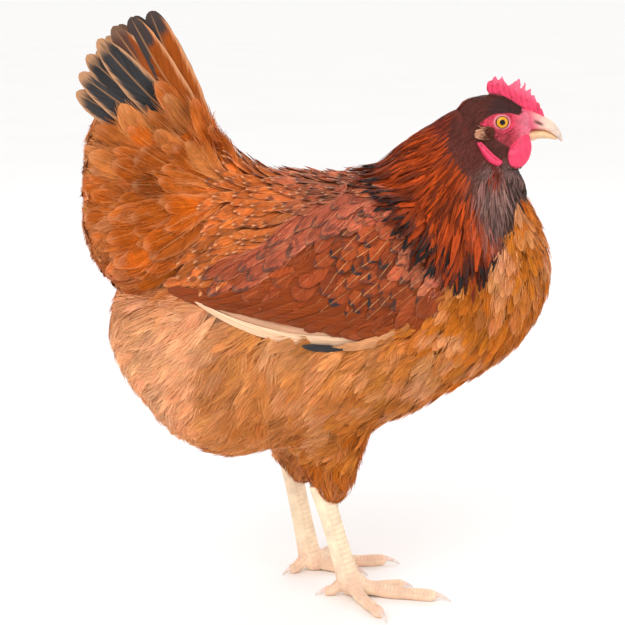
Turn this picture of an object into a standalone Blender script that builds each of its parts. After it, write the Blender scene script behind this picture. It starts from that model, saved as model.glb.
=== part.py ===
"""A red laying hen standing, life size. Lengths are in millimetres in the tables and turned to metres in the meshes.

+X is the way the hen faces, +Y its left side, +Z up. The origin is under the middle of its box, on the floor.
Every feathered piece is the outline of its coat, out to the tips of the feathers.
"""

import math
from collections import namedtuple

import bmesh
import bpy
from mathutils import Matrix, Vector

MM = 0.001
GAP = 0.5  # clearance between neighbouring pieces
RIGHT, LEFT = -1, 1  # the sign of Y on each side of the hen
SIDE_NAMES = {RIGHT: "right", LEFT: "left"}

# The head and the top of the neck are turned a little to the hen's right.
HEAD_TURN = math.radians(-7)
TURN_AXIS_X = 128
TURN_FROM_Z, TURN_TO_Z = 318, 372

# Planes that part the body, each a point (x, z) on it and how far it leans back from upright.
NECK_PART = ((52, 346), math.radians(73))
HEAD_PART = ((119, 398), math.radians(36))

EYE_AT = (147.0, 381.4)
EYE_OUT = 11.8
EYE_RADIUS = 8.0

# Each leg: the ball of the foot (x, y), the hock (x, y, z), how far the middle toe points out, which way the hind
# toe points from it, how far the toes are stretched, and how far forward and out the thigh lies.
Leg = namedtuple("Leg", "ball hock out hind reach thigh")
LEGS = {
    RIGHT: Leg((30, 29), (7.5, 27, 89), math.radians(11), math.radians(165), 1.0, (14, 26)),
    LEFT: Leg((-2, 29), (-21, 27, 108), math.radians(9), math.radians(205), 0.92, (-11, 27)),
}
# Toes: the angle from the middle toe (the hind toe has its leg's own), the reach of toe and claw, the thickness
# and the number of joints. The first is the hind toe.
Toe = namedtuple("Toe", "name angle length claw radius joints")
TOES = (
    Toe("1", 0.0, 20, 8, 4.4, 1),
    Toe("2", math.radians(-28), 46, 9, 4.5, 2),
    Toe("3", 0.0, 71, 12, 5.0, 3),
    Toe("4", math.radians(54), 56, 10, 4.6, 4),
)
HIND_RISE = 13  # how much higher the hind toe starts than it ends
SHANK_DEPTH, SHANK_WIDTH = 8.6, 6.4  # half of each, fore and aft and across
SHANK_SHARE = 0.78  # how much of the way from hock to ball is shank, and the rest is one piece with the foot

# A ring of a body: its upper and lower edge (x, z), half its width, how much wider its lower half is (egg) and
# how boxy it is (2 is an ellipse). On one side of the hen it also has how far out its middle lies, and how much
# further out its upper and its lower edge lie than that.
Ring = namedtuple("Ring", "top bottom half egg full out high low", defaults=(0.0, 2.0, 0.0, 0.0, 0.0))

BODY = (
    Ring((-160, 232), (-158, 206), 13),
    Ring((-151, 252), (-145, 174), 38, 0.05),
    Ring((-130, 276), (-117, 139), 55, 0.05, 2.1),
    Ring((-98, 308), (-90, 118), 64, 0.05, 2.2),
    Ring((-62, 344), (-61, 111.5), 70, 0.06, 2.2),
    Ring((-28, 347), (-30, 118), 74, 0.06, 2.3),
    Ring((4, 345), (8, 126), 76, 0.04, 2.4),
    Ring((30, 344), (52, 135), 76, 0.02, 2.4),
    Ring((50, 348), (92, 154), 74, 0.06, 2.3),
    Ring((64, 362), (133, 176), 69, 0.16, 2.2),
    Ring((76, 372), (166, 201), 57, 0.36, 2.1),
    Ring((90, 381.5), (187, 235), 44, 0.48, 2.0),
    Ring((104, 390), (191, 270), 32, 0.44, 2.0),
    Ring((117, 397), (180, 306), 21.5, 0.12),
    Ring((129, 401), (166, 333), 19.4, -0.2),
    Ring((140, 402), (160, 349), 18.1, -0.3),
    Ring((150, 399.5), (163, 356), 16.7, -0.3),
    Ring((159, 394.5), (166, 360.5), 14.0, -0.2),
    Ring((167, 389.5), (167.5, 364), 11.0, -0.1),
    Ring((175, 386), (167, 368), 8.0),
    Ring((180, 383.5), (166.5, 371), 4.5),
)

# The folded wing, from the bend of the wing at the shoulder to the tip over the flank.
WING = (
    Ring((96, 290), (100, 270), 8, 0.0, 2.0, 57),
    Ring((84, 318), (92, 248), 18, 0.0, 2.2, 57, -8),
    Ring((58, 336), (66, 232), 22, 0.0, 2.3, 59, -14, 4),
    Ring((24, 336), (26, 226), 23, 0.0, 2.4, 60, -18, 6),
    Ring((-10, 328), (-14, 229), 24, 0.0, 2.4, 59, -18, 8),
    Ring((-42, 310), (-46, 238), 24, 0.0, 2.4, 56, -16, 8),
    Ring((-70, 289), (-74, 248), 22, 0.0, 2.2, 52, -10, 8),
    Ring((-92, 272), (-93, 255), 16, 0.0, 2.0, 50, -4, 4),
    Ring((-106, 262), (-106, 257), 5, 0.0, 2.0, 52),
)
# The long flight feathers that show under the wing's lower edge.
PRIMARIES = (
    Ring((-92, 262), (-92, 254), 5, 0.0, 2.0, 60),
    Ring((-72, 262), (-76, 240), 8, 0.0, 2.2, 66),
    Ring((-45, 258), (-50, 225), 8, 0.0, 2.2, 71),
    Ring((-15, 252), (-18, 214), 8, 0.0, 2.2, 74),
    Ring((18, 248), (16, 210), 8, 0.0, 2.2, 74),
    Ring((48, 246), (50, 216), 8, 0.0, 2.2, 71),
    Ring((70, 246), (72, 234), 5, 0.0, 2.0, 67),
)
# The soft cushion of coverts round the root of the tail.
COVERTS = (
    Ring((-20, 341), (-50, 262), 44, 0.1),
    Ring((-50, 356.5), (-72, 250), 56, 0.2),
    Ring((-78, 378), (-102, 240), 60, 0.34),
    Ring((-104, 392), (-130, 238), 56, 0.34),
    Ring((-130, 397), (-152, 244), 49, 0.28),
    Ring((-152, 396), (-168, 262), 41, 0.2),
    Ring((-169, 384), (-177, 284), 30, 0.1),
    Ring((-178, 360), (-182, 306), 14),
)
# The thigh in its feathers, down to the hock, as front and back edges from the leg's own place.
THIGH = (
    Ring((50, 196), (-44, 190), 30),
    Ring((42, 160), (-40, 150), 27),
    Ring((33.5, 132), (-33, 122), 21),
    Ring((26, 112), (-22, 102), 17),
    Ring((17.5, 93), (-10, 88), 13),
    Ring((8, 79), (-3, 78.5), 7),
)

# The tail is two halves that lean on each other like a tent. Feathers are numbered from the ridge outwards.
TAIL_FEATHERS = 7
TAIL_ROOT = (-66, 345)
TAIL_RIDGE_ANGLE, TAIL_LOW_ANGLE = math.radians(112), math.radians(157)
TAIL_RIDGE_LENGTH, TAIL_LOW_LENGTH, TAIL_MID_EXTRA = 135, 127, 10
TAIL_SPREAD = math.radians(17)  # how far each half stands out from upright
TAIL_THICK = 5.5
TAIL_LOBE = 11  # how far the feather tips reach past the notches between them

# The comb stands on the crown, from x = 139 to 180. Each of its points as (x, z), with the notch behind it.
COMB_FROM, COMB_TO = 139, 180
COMB_BASE = ((139, 400), (150, 397.5), (160, 392.5), (170, 386), (180, 380.5))
COMB_POINTS = (
    ((135.8, 410.5), (138, 404)),
    ((142, 416), (140, 412.3)),
    ((147, 416), (143.9, 412.4)),
    ((160.2, 413.6), (151.8, 408.5)),
    ((164.8, 412), (161.4, 406)),
    ((169.2, 407.2), (165.4, 404)),
    ((171.8, 401.8), (169.7, 399.8)),
    ((176, 394.8), (173.8, 396.6)),
    ((178.4, 390), (177, 391.4)),
)
COMB_END = (180.5, 383.5)
COMB_THICK = 2.8

BILL_UPPER = (
    Ring((165, 391.5), (158, 372.6), 10.6, 0.3),
    Ring((173, 387.8), (166, 373.6), 9.6, 0.35),
    Ring((181, 384.3), (175, 374.9), 7.9, 0.4),
    Ring((186.6, 381), (182, 374.2), 6.1, 0.35),
    Ring((190.8, 376.6), (187, 371.2), 4.2, 0.2),
    Ring((193.6, 371.8), (191, 368.2), 2.4, 0.1),
    Ring((195, 366.4), (194.2, 365.9), 0.8),
)
BILL_LOWER = (
    Ring((160, 372.6), (166, 362.6), 8.6),
    Ring((169, 373.8), (171.5, 366.2), 7.8),
    Ring((177, 375), (177.5, 368), 6.8),
    Ring((184, 373), (184.5, 367.8), 4.8),
    Ring((190, 368.4), (190, 366.9), 2),
)
WATTLE = (
    Ring((169.5, 370), (160, 369), 3.0, 0.0, 2.0, 10.5),
    Ring((170, 364), (153.5, 361), 3.0, 0.0, 2.0, 13.5),
    Ring((169.5, 356.5), (147.6, 355), 2.9, 0.0, 2.0, 16.2),
    Ring((165.5, 349.5), (149, 349.5), 2.5, 0.0, 2.0, 17.0),
    Ring((159.5, 346), (154, 346), 1.4, 0.0, 2.0, 17.0),
)
EARLOBE = (
    Ring((131.5, 366), (126, 364.5), 2.4, 0.0, 2.0, 20.8),
    Ring((137, 360), (128.5, 356.5), 3.4, 0.0, 2.0, 22.6),
    Ring((142.5, 354), (134.5, 350), 3.4, 0.0, 2.0, 23.4),
    Ring((146, 348), (141.5, 345), 2.2, 0.0, 2.0, 23.0),
)
EAR_COVERTS = (
    Ring((123.5, 373.5), (124, 369.5), 2.0, 0.0, 2.0, 20.0),
    Ring((128, 378), (129, 368.5), 3.0, 0.0, 2.0, 19.4),
    Ring((134.5, 378), (135.5, 367), 3.0, 0.0, 2.0, 18.9),
    Ring((140, 374), (140.5, 369.5), 1.8, 0.0, 2.0, 18.4),
)


def material(name, colour, roughness, metallic=0.0):
    """The Principled material of that name, made once."""
    found = bpy.data.materials.get(name)
    if found:
        return found
    made = bpy.data.materials.new(name)
    made.use_nodes = True
    made.diffuse_color = (*colour, 1)
    surface = made.node_tree.nodes["Principled BSDF"]
    surface.inputs["Base Color"].default_value = (*colour, 1)
    surface.inputs["Roughness"].default_value = roughness
    surface.inputs["Metallic"].default_value = metallic
    return made


def chestnut():
    return material("chestnut_feather", (0.42, 0.13, 0.035), 0.6)


def buff():
    return material("buff_fluff", (0.62, 0.27, 0.09), 0.8)


def mahogany():
    return material("mahogany_hackle", (0.22, 0.045, 0.02), 0.5)


def red_skin():
    return material("red_skin", (0.72, 0.05, 0.09), 0.5)


def horn():
    return material("horn", (0.78, 0.60, 0.42), 0.35)


def leg_scale():
    return material("leg_scale", (0.82, 0.58, 0.36), 0.55)


def eye_amber():
    return material("eye_amber", (0.72, 0.45, 0.04), 0.1)


def smoothed(share):
    """share from 0 to 1, easing in and out."""
    share = min(max(share, 0.0), 1.0)
    return share * share * (3 - 2 * share)


def turned(point):
    """The point after the head's turn, which grows up the neck."""
    angle = HEAD_TURN * smoothed((point.z - TURN_FROM_Z) / (TURN_TO_Z - TURN_FROM_Z))
    angle *= smoothed((point.x - 60) / 50)
    across = Matrix.Rotation(angle, 3, "Z") @ Vector((point.x - TURN_AXIS_X, point.y, 0))
    return Vector((across.x + TURN_AXIS_X, across.y, point.z))


def through(values, share):
    """The smooth curve through values, each a tuple of numbers, at share from 0 to 1."""
    spans = len(values) - 1
    at = min(int(share * spans), spans - 1)
    t = share * spans - at
    before, start, end, after = (values[min(max(at + k, 0), spans)] for k in (-1, 0, 1, 2))
    return [
        b + 0.5 * t * (c - a + t * (2 * a - 5 * b + 4 * c - d + t * (3 * (b - c) + d - a)))
        for a, b, c, d in zip(before, start, end, after)
    ]


def finished(name, bm, stuff, sharp=40):
    """The object of this bmesh, its numbers in millimetres until here, and its faces flat."""
    bmesh.ops.triangulate(bm, faces=bm.faces[:])
    bmesh.ops.recalc_face_normals(bm, faces=bm.faces)
    bmesh.ops.scale(bm, vec=(MM, MM, MM), verts=bm.verts)
    mesh = bpy.data.meshes.new(name)
    bm.to_mesh(mesh)
    bm.free()
    mesh.shade_smooth()
    mesh.set_sharp_from_angle(angle=math.radians(sharp))
    mesh.materials.append(stuff)
    made = bpy.data.objects.new(name, mesh)
    bpy.context.scene.collection.objects.link(made)
    return made


def skinned(bm, rings):
    """Closes a row of rings of points into one body, with a fan at each end."""
    made = [[bm.verts.new(point) for point in ring] for ring in rings]
    count = len(made[0])
    for first, second in zip(made, made[1:]):
        for i in range(count):
            j = (i + 1) % count
            bm.faces.new((first[i], first[j], second[j], second[i]))
    for ring, flip in ((made[0], False), (made[-1], True)):
        middle = bm.verts.new(sum((v.co for v in ring), Vector()) / count)
        for i in range(count):
            corners = (ring[i], ring[(i + 1) % count], middle)
            bm.faces.new(corners[::-1] if flip else corners)


def ring_points(values, sides, side):
    """The points of one ring, from its interpolated numbers."""
    top_x, top_z, low_x, low_z, half, egg, full, out, high, low = values
    middle = Vector(((top_x + low_x) / 2, 0, (top_z + low_z) / 2))
    arm = Vector(((top_x - low_x) / 2, 0, (top_z - low_z) / 2))
    power = 2 / full
    points = []
    for i in range(sides):
        angle = math.tau * (i + 0.5) / sides
        across = math.copysign(abs(math.cos(angle)) ** power, math.cos(angle))
        up = math.copysign(abs(math.sin(angle)) ** power, math.sin(angle))
        edge = (high if up > 0 else low) * up * up
        y = half * across * (1 - egg * up) + side * (out + edge)
        points.append(middle + arm * up + Vector((0, y, 0)))
    return points


def loft(rings, sides, steps, side=0, shift=(0, 0), turn=False):
    """A bmesh through rings, with steps rings for each span of the table."""
    table = [(*r.top, *r.bottom, *r[2:]) for r in rings]
    count = steps * (len(table) - 1)
    made = [ring_points(through(table, k / count), sides, side) for k in range(count + 1)]
    made = [[p + Vector((shift[0], 0, shift[1])) for p in ring] for ring in made]
    if turn:
        made = [[turned(p) for p in ring] for ring in made]
    bm = bmesh.new()
    skinned(bm, made)
    return bm


def lofted(name, rings, stuff, sides, steps, **place):
    return finished(name, loft(rings, sides, steps, **place), stuff)


def tube(bm, path, radii, sides, flat=1.0):
    """A tube along path, each ring square to it and with a facet below. flat is its height over its width."""
    rings = []
    for k, at in enumerate(path):
        ahead = path[min(k + 1, len(path) - 1)] - path[max(k - 1, 0)]
        ahead.normalize()
        beside = ahead.cross(Vector((0, 0, 1)))
        if beside.length < 0.05:
            beside = Vector((0, 1, 0))
        beside.normalize()
        over = beside.cross(ahead)
        rings.append([])
        for i in range(sides):
            angle = math.tau * ((i + 0.5) / sides - 0.25)
            ring = beside * math.cos(angle) + over * (flat * math.sin(angle))
            rings[-1].append(at + ring * radii[k])
    skinned(bm, rings)


def floor_cut(bm):
    """Cuts off what is under the floor, and closes the flat that it leaves."""
    everything = bm.verts[:] + bm.edges[:] + bm.faces[:]
    cut = bmesh.ops.bisect_plane(
        bm, geom=everything, plane_co=(0, 0, 0), plane_no=(0, 0, -1), clear_outer=True
    )
    rim = [e for e in cut["geom_cut"] if isinstance(e, bmesh.types.BMEdge)]
    bmesh.ops.holes_fill(bm, edges=rim, sides=0)


def half_of(source, name, stuff, point, lean, keep_above, clearance=GAP / 2):
    """The part of a mesh object on one side of a plane across the hen, closed again."""
    normal = Vector((math.cos(lean), 0, math.sin(lean)))
    offset = clearance if keep_above else -clearance
    at = Vector((point[0], 0, point[1])) + normal * offset
    bm = bmesh.new()
    bm.from_mesh(source.data)
    bmesh.ops.scale(bm, vec=(1 / MM, 1 / MM, 1 / MM), verts=bm.verts)
    everything = bm.verts[:] + bm.edges[:] + bm.faces[:]
    cut = bmesh.ops.bisect_plane(
        bm,
        geom=everything,
        dist=0.001,
        plane_co=at,
        plane_no=normal,
        clear_inner=keep_above,
        clear_outer=not keep_above,
    )
    rim = [e for e in cut["geom_cut"] if isinstance(e, bmesh.types.BMEdge)]
    bmesh.ops.holes_fill(bm, edges=rim, sides=0)
    return finished(name, bm, stuff)


def grown(source):
    """A hidden copy of a piece as first made, bigger by the gap, to cut its neighbours with."""
    name = source.name + "_room"
    found = bpy.data.objects.get(name)
    if found:
        return found
    copy = bpy.data.objects.new(name, source.data)
    bpy.context.scene.collection.objects.link(copy)
    swell = copy.modifiers.new("swell", "DISPLACE")
    swell.strength, swell.mid_level = GAP * MM, 0.0
    helper(copy)
    return copy


def helper(piece):
    """Marks a shape that only cuts or joins others."""
    piece.hide_render = True
    piece.display_type = "WIRE"


def make_room(piece, *neighbours):
    """Cuts the neighbours, and the gap round them, out of a piece."""
    for neighbour in neighbours:
        cut = piece.modifiers.new("room_for_" + neighbour.name, "BOOLEAN")
        cut.operation, cut.solver = "DIFFERENCE", "EXACT"
        cut.object = grown(neighbour)


def make_body():
    """Trunk, neck and head, lofted whole and parted with thin cuts."""
    whole = lofted("body_whole", BODY, chestnut(), 18, 2, turn=True)
    below_head = half_of(whole, "below_head", chestnut(), *HEAD_PART, keep_above=False)
    head = half_of(whole, "head", red_skin(), *HEAD_PART, keep_above=True)
    trunk = half_of(below_head, "trunk", buff(), *NECK_PART, keep_above=False)
    neck = half_of(below_head, "neck", mahogany(), *NECK_PART, keep_above=True)
    bpy.data.objects.remove(below_head)
    helper(whole)
    return whole, trunk, neck, head


def make_eye(side):
    """The eyeball, of which the lids leave the front bare."""
    bm = bmesh.new()
    at = turned(Vector((EYE_AT[0], side * EYE_OUT, EYE_AT[1])))
    bmesh.ops.create_uvsphere(
        bm, u_segments=12, v_segments=7, radius=EYE_RADIUS, matrix=Matrix.Translation(at)
    )
    return finished("eye_" + SIDE_NAMES[side], bm, eye_amber())


def make_comb():
    """The single comb, an upright blade with points, thin at its edge."""
    edge = [corner for point, notch in COMB_POINTS for corner in (notch, point)] + [COMB_END]
    rings = []
    for k, (x, z) in enumerate(edge):
        along = k / (len(edge) - 1)
        _, low = through(COMB_BASE, along)
        base = Vector((COMB_FROM + (COMB_TO - COMB_FROM) * along, 0, low))
        wide = COMB_THICK * math.sin(math.pi * (0.12 + 0.76 * along)) ** 0.5
        wave = 0.9 * math.sin(along * 19)
        top = Vector((x, wave, z))
        across = Vector((0, wide, 0))
        corners = (base - across, top - across * 0.3, top + across * 0.3, base + across)
        rings.append([turned(corner) for corner in corners])
    bm = bmesh.new()
    skinned(bm, rings)
    return finished("comb", bm, red_skin(), sharp=60)


def tail_length(across):
    """How far the tail reaches from its root at this share from the ridge to the lowest feather."""
    reach = TAIL_RIDGE_LENGTH + (TAIL_LOW_LENGTH - TAIL_RIDGE_LENGTH) * across
    reach += TAIL_MID_EXTRA * math.sin(math.pi * across)
    place = across * TAIL_FEATHERS
    return reach - TAIL_LOBE * (1 - math.sin(math.pi * (place - int(place))) ** 0.6)


def make_tail(side):
    """Half the tail, a fan of broad feathers, each lapped over the next one out."""
    per_feather = 3
    columns = per_feather * TAIL_FEATHERS
    rows = (0.0, 0.6, 1.0)
    bm = bmesh.new()
    outer, inner = [], []
    for c in range(columns + 1):
        across = min(c / columns, 0.999)
        angle = TAIL_RIDGE_ANGLE + (TAIL_LOW_ANGLE - TAIL_RIDGE_ANGLE) * across
        lap = 1 - (c % per_feather) / per_feather
        outer.append([])
        inner.append([])
        for row in rows:
            reach = 16 + (tail_length(across) - 16) * row
            # Down from the ridge is how far a point hangs under the ridge's own line.
            flat = Vector((math.cos(angle) * reach, 0, math.sin(angle) * reach))
            ridge = Vector((math.cos(TAIL_RIDGE_ANGLE), 0, math.sin(TAIL_RIDGE_ANGLE)))
            below = (flat - ridge * flat.dot(ridge)).length
            out = 1.0 + below * math.tan(TAIL_SPREAD) + 7 * math.sin(math.pi * across) * row
            thick = TAIL_THICK * (1 - 0.72 * row) + 0.5 * lap
            at = Vector((TAIL_ROOT[0], side * out, TAIL_ROOT[1])) + flat
            outer[-1].append(bm.verts.new(at + Vector((0, side * thick, 0))))
            inner[-1].append(bm.verts.new(at))
    for c in range(columns):
        for r in range(len(rows) - 1):
            bm.faces.new((outer[c][r], outer[c + 1][r], outer[c + 1][r + 1], outer[c][r + 1]))
            bm.faces.new((inner[c][r], inner[c][r + 1], inner[c + 1][r + 1], inner[c + 1][r]))
        bm.faces.new((outer[c][0], inner[c][0], inner[c + 1][0], outer[c + 1][0]))
        bm.faces.new((outer[c][-1], outer[c + 1][-1], inner[c + 1][-1], inner[c][-1]))
    for c in (0, columns):
        for r in range(len(rows) - 1):
            bm.faces.new((outer[c][r], outer[c][r + 1], inner[c][r + 1], inner[c][r]))
    return finished("tail_" + SIDE_NAMES[side], bm, chestnut(), sharp=25)


def toe_line(leg, side, toe):
    """Where a toe starts and which way it points, in the plane of the floor."""
    out = side * (leg.out + (leg.hind if toe.name == "1" else toe.angle))
    forward = Vector((math.cos(out), math.sin(out), 0))
    return Vector((leg.ball[0], side * leg.ball[1], 0)), forward


def make_toe(leg, side, toe):
    """A toe as a bmesh: a bulge for each joint, thick where it leaves the foot, flat where it stands."""
    bm = bmesh.new()
    start, forward = toe_line(leg, side, toe)
    hind = toe.name == "1"
    length = toe.length * (1 if hind else leg.reach)
    steps = 4 if hind else 2 * toe.joints + 1
    path, radii = [], []
    for k in range(steps + 1):
        along = k / steps
        pads = 0.5 - 0.5 * math.cos(math.tau * toe.joints * along)
        root = (1 - along) ** 3
        radius = toe.radius * (1.0 + 0.3 * root - 0.06 * along + 0.08 * pads)
        rise = HIND_RISE * max(1 - along / 0.72, 0) ** 1.2 if hind else 7 * (1 - along) ** 4
        middle = radius * (0.8 if hind else 0.88) + rise
        path.append(start + forward * (length * along) + Vector((0, 0, middle)))
        radii.append(radius)
    radii[-1] *= 0.7
    tube(bm, path, radii, 7)
    return bm


def make_claw(leg, side, toe):
    """A curved claw that grows from the top of the toe's end and comes down to the floor."""
    start, forward = toe_line(leg, side, toe)
    high = toe.radius * 1.2
    length = toe.length * (1 if toe.name == "1" else leg.reach)
    root = start + forward * (length - 4.5) + Vector((0, 0, high))
    path, radii = [], []
    for k in range(4):
        along = k / 3
        drop = (high - 0.25) * along**2
        path.append(root + forward * ((toe.claw + 4.5) * along) + Vector((0, 0, -drop)))
        radii.append(2.3 * (1 - along) ** 0.8 + 0.35)
    bm = bmesh.new()
    tube(bm, path, radii, 6)
    floor_cut(bm)
    return finished(f"claw_{SIDE_NAMES[side]}_{toe.name}", bm, horn())


def shank_radius(share):
    """Half the shank's width at this share of the way from hock to ball: thick at both ends."""
    return SHANK_WIDTH * (0.96 + 0.16 * (1 - share) ** 4 + 0.2 * share**4)


def make_foot(side):
    """Shank, the ball with its toes, and the claws."""
    leg, name = LEGS[side], SIDE_NAMES[side]
    ball = Vector((leg.ball[0], side * leg.ball[1], 10.5))
    hock = Vector((leg.hock[0], side * leg.hock[1], leg.hock[2]))
    gap = GAP / (hock - ball).length
    flat = SHANK_DEPTH / SHANK_WIDTH
    shares = [SHANK_SHARE * k / 5 for k in range(6)]
    bm = bmesh.new()
    tube(bm, [hock.lerp(ball, k) for k in shares], [shank_radius(k) for k in shares], 12, flat)
    shank = finished("shank_" + name, bm, leg_scale())
    shares = (SHANK_SHARE + gap, 0.5 + 0.5 * SHANK_SHARE, 1.0)
    bm = bmesh.new()
    tube(bm, [hock.lerp(ball, k) for k in shares], [shank_radius(k) for k in shares], 10, flat)
    stub = finished("ankle_" + name, bm, leg_scale())
    pad = bmesh.new()
    bmesh.ops.create_uvsphere(pad, u_segments=10, v_segments=6, radius=10)
    bmesh.ops.scale(pad, vec=(1.15, 1.0, 0.98), verts=pad.verts)
    bmesh.ops.translate(pad, vec=ball + Vector((3.5, 0, -1.9)), verts=pad.verts)
    foot = finished("foot_" + name, pad, leg_scale())
    join(foot, stub)
    for toe in TOES:
        join(foot, finished(f"toe_{name}_{toe.name}", make_toe(leg, side, toe), leg_scale()))
    claws = [make_claw(leg, side, toe) for toe in TOES]
    apply_modifiers(foot)
    bm = bmesh.new()
    bm.from_mesh(foot.data)
    floor_cut(bm)
    bmesh.ops.dissolve_limit(bm, angle_limit=math.radians(6), verts=bm.verts, edges=bm.edges)
    bmesh.ops.triangulate(bm, faces=bm.faces[:])
    bm.to_mesh(foot.data)
    bm.free()
    return shank, foot, claws


def join(piece, other):
    """Joins another closed shape to a piece, and hides the other."""
    joined = piece.modifiers.new("with_" + other.name, "BOOLEAN")
    joined.operation, joined.solver = "UNION", "EXACT"
    joined.object = other
    helper(other)


def apply_modifiers(piece):
    """Turns a piece's modifiers into its mesh."""
    graph = bpy.context.evaluated_depsgraph_get()
    mesh = bpy.data.meshes.new_from_object(piece.evaluated_get(graph))
    piece.modifiers.clear()
    piece.data = mesh


def stand_on_floor():
    """Moves the whole hen so that the origin is under the middle of its box, on the floor."""
    bpy.context.view_layer.update()
    shown = [o for o in bpy.context.scene.objects if not o.hide_render]
    graph = bpy.context.evaluated_depsgraph_get()
    corners = [Vector(c) for o in shown for c in o.evaluated_get(graph).bound_box]
    low, high = (Vector(f(c[k] for c in corners) for k in range(3)) for f in (min, max))
    shift = Vector((-(low.x + high.x) / 2, -(low.y + high.y) / 2, -low.z))
    for mesh in {o.data for o in bpy.context.scene.objects}:
        mesh.transform(Matrix.Translation(shift))


def main():
    for old in list(bpy.data.objects):
        bpy.data.objects.remove(old)
    body, trunk, neck, head = make_body()
    coverts = lofted("tail_coverts", COVERTS, buff(), 13, 2)
    make_room(coverts, body)
    upper = lofted("bill_upper", BILL_UPPER, horn(), 11, 1, turn=True)
    lower = lofted("bill_lower", BILL_LOWER, horn(), 10, 1, turn=True)
    make_room(upper, body)
    make_room(lower, body, upper)
    comb = make_comb()
    make_room(comb, body, upper)
    for side in (RIGHT, LEFT):
        name = SIDE_NAMES[side]
        eye = make_eye(side)
        make_room(head, eye)
        wing = lofted("wing_" + name, WING, chestnut(), 12, 2, side=side)
        make_room(wing, body, coverts)
        primaries = lofted("primaries_" + name, PRIMARIES, buff(), 8, 1, side=side)
        make_room(primaries, body, wing)
        tail = make_tail(side)
        make_room(tail, body, coverts)
        shift = (LEGS[side].thigh[0], 0)
        thigh_rings = [r._replace(out=LEGS[side].thigh[1]) for r in THIGH]
        thigh = lofted("thigh_" + name, thigh_rings, buff(), 12, 2, side=side, shift=shift)
        make_room(thigh, body)
        shank, foot, claws = make_foot(side)
        make_room(shank, thigh)
        make_room(foot, *claws)
        wattle = lofted("wattle_" + name, WATTLE, red_skin(), 10, 1, side=side, turn=True)
        lobe = lofted("earlobe_" + name, EARLOBE, red_skin(), 8, 1, side=side, turn=True)
        tuft = lofted("ear_coverts_" + name, EAR_COVERTS, buff(), 10, 1, side=side, turn=True)
        make_room(tuft, body)
        make_room(lobe, body, tuft)
        make_room(wattle, body, lower, upper)
    stand_on_floor()


main()
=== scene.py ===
"""A standing red laying hen, life size: skin, plumage, eyes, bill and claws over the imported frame.

It is laid out as a Blender add-on and run as a script. Lengths in the tables are millimetres in the drawing's own
axes: X the way the hen faces, Y its left side, Z up from the floor. The frame's right eye places them in the model.
"""

import math
from collections import namedtuple
from functools import partial

import bpy
import numpy as np
from bpy.props import FloatProperty, FloatVectorProperty, IntProperty, PointerProperty
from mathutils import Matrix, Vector
from mathutils.bvhtree import BVHTree
from mathutils.noise import noise


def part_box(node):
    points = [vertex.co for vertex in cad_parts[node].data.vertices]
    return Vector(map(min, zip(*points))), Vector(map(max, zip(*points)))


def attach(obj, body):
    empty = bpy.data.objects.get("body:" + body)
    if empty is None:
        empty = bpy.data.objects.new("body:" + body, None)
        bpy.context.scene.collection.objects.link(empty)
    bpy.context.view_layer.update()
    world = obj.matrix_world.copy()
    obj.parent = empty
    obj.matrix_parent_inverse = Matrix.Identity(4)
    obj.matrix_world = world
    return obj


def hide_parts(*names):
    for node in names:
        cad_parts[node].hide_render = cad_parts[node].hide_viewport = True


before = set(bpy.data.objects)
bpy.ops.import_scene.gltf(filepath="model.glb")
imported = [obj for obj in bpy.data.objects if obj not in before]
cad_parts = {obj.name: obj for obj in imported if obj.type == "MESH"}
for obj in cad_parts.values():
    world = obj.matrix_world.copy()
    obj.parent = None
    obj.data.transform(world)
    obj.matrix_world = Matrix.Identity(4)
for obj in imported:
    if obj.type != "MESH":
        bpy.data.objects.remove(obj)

bl_info = {
    "name": "Red laying hen",
    "version": (1, 0, 0),
    "blender": (4, 5, 0),
    "location": "3D View > Sidebar > Hen",
    "description": "Builds a life-size hen, piece by piece, over its packed frame",
    "category": "Object",
}

MM = 0.001
TAU = math.tau
SIDES = {"right": -1, "left": 1}
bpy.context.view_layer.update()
HEAD_TURN = math.radians(7)  # to the hen's right, about an upright line at TURN_X
TURN_X = 128

# --- the drawing's axes and small sums


def smooth(share):
    share = np.clip(share, 0, 1)
    return share * share * (3 - 2 * share)


def ramp(value, start, end):
    """0 before start, 1 after end, eased between them. start may be the larger."""
    return smooth((np.asarray(value, float) - start) / (end - start))


def blend(one, other, share):
    """one where share is 0 and other where it is 1."""
    return one * (1 - share) + other * share


def bump(away, width):
    """1 in the middle, fading to 0 on both sides."""
    return np.exp(-((away / width) ** 2))


def unit(vectors):
    return vectors / np.maximum(np.linalg.norm(vectors, axis=-1, keepdims=True), 1e-9)


def dot(a, b):
    return (a * b).sum(-1, keepdims=True)


def around(count):
    """Angles all the way round."""
    return TAU * np.arange(count) / count


def side_view(points):
    """x and z of points, which may have y between them."""
    return points[..., 0], points[..., -1]


def turned(points, back=False):
    """Points after the head's turn to the hen's right, which grows up the neck. back undoes it."""
    points = np.asarray(points, float)
    share = ramp(points[..., 2], 318, 372) * ramp(points[..., 0], 60, 110)
    angle = (HEAD_TURN if back else -HEAD_TURN) * share
    x, y = points[..., 0] - TURN_X, points[..., 1]
    cos, sin = np.cos(angle), np.sin(angle)
    return np.stack([x * cos - y * sin + TURN_X, x * sin + y * cos, points[..., 2]], -1)


EYE_X, EYE_OUT, EYE_Z = 147, 11.8, 381.4
EYE_RADIUS = 8
EYE_AHEAD, EYE_UP = 0.17, 0.04  # how far forward and up an eye looks, to 1 outward
LID = 4.9  # from the eye's axis to the edge of the lids
_low, _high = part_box("eye_right")
SHIFT = np.array((_low + _high) * 500) - turned((EYE_X, -EYE_OUT, EYE_Z))


def mottle(points, size, seed=0):
    """Soft blotches between about -1 and 1, size millimetres across."""
    return 1.7 * np.array([noise(p) for p in (points / size + 7.3 * seed + 0.37).tolist()])


# --- tables of the head

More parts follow.
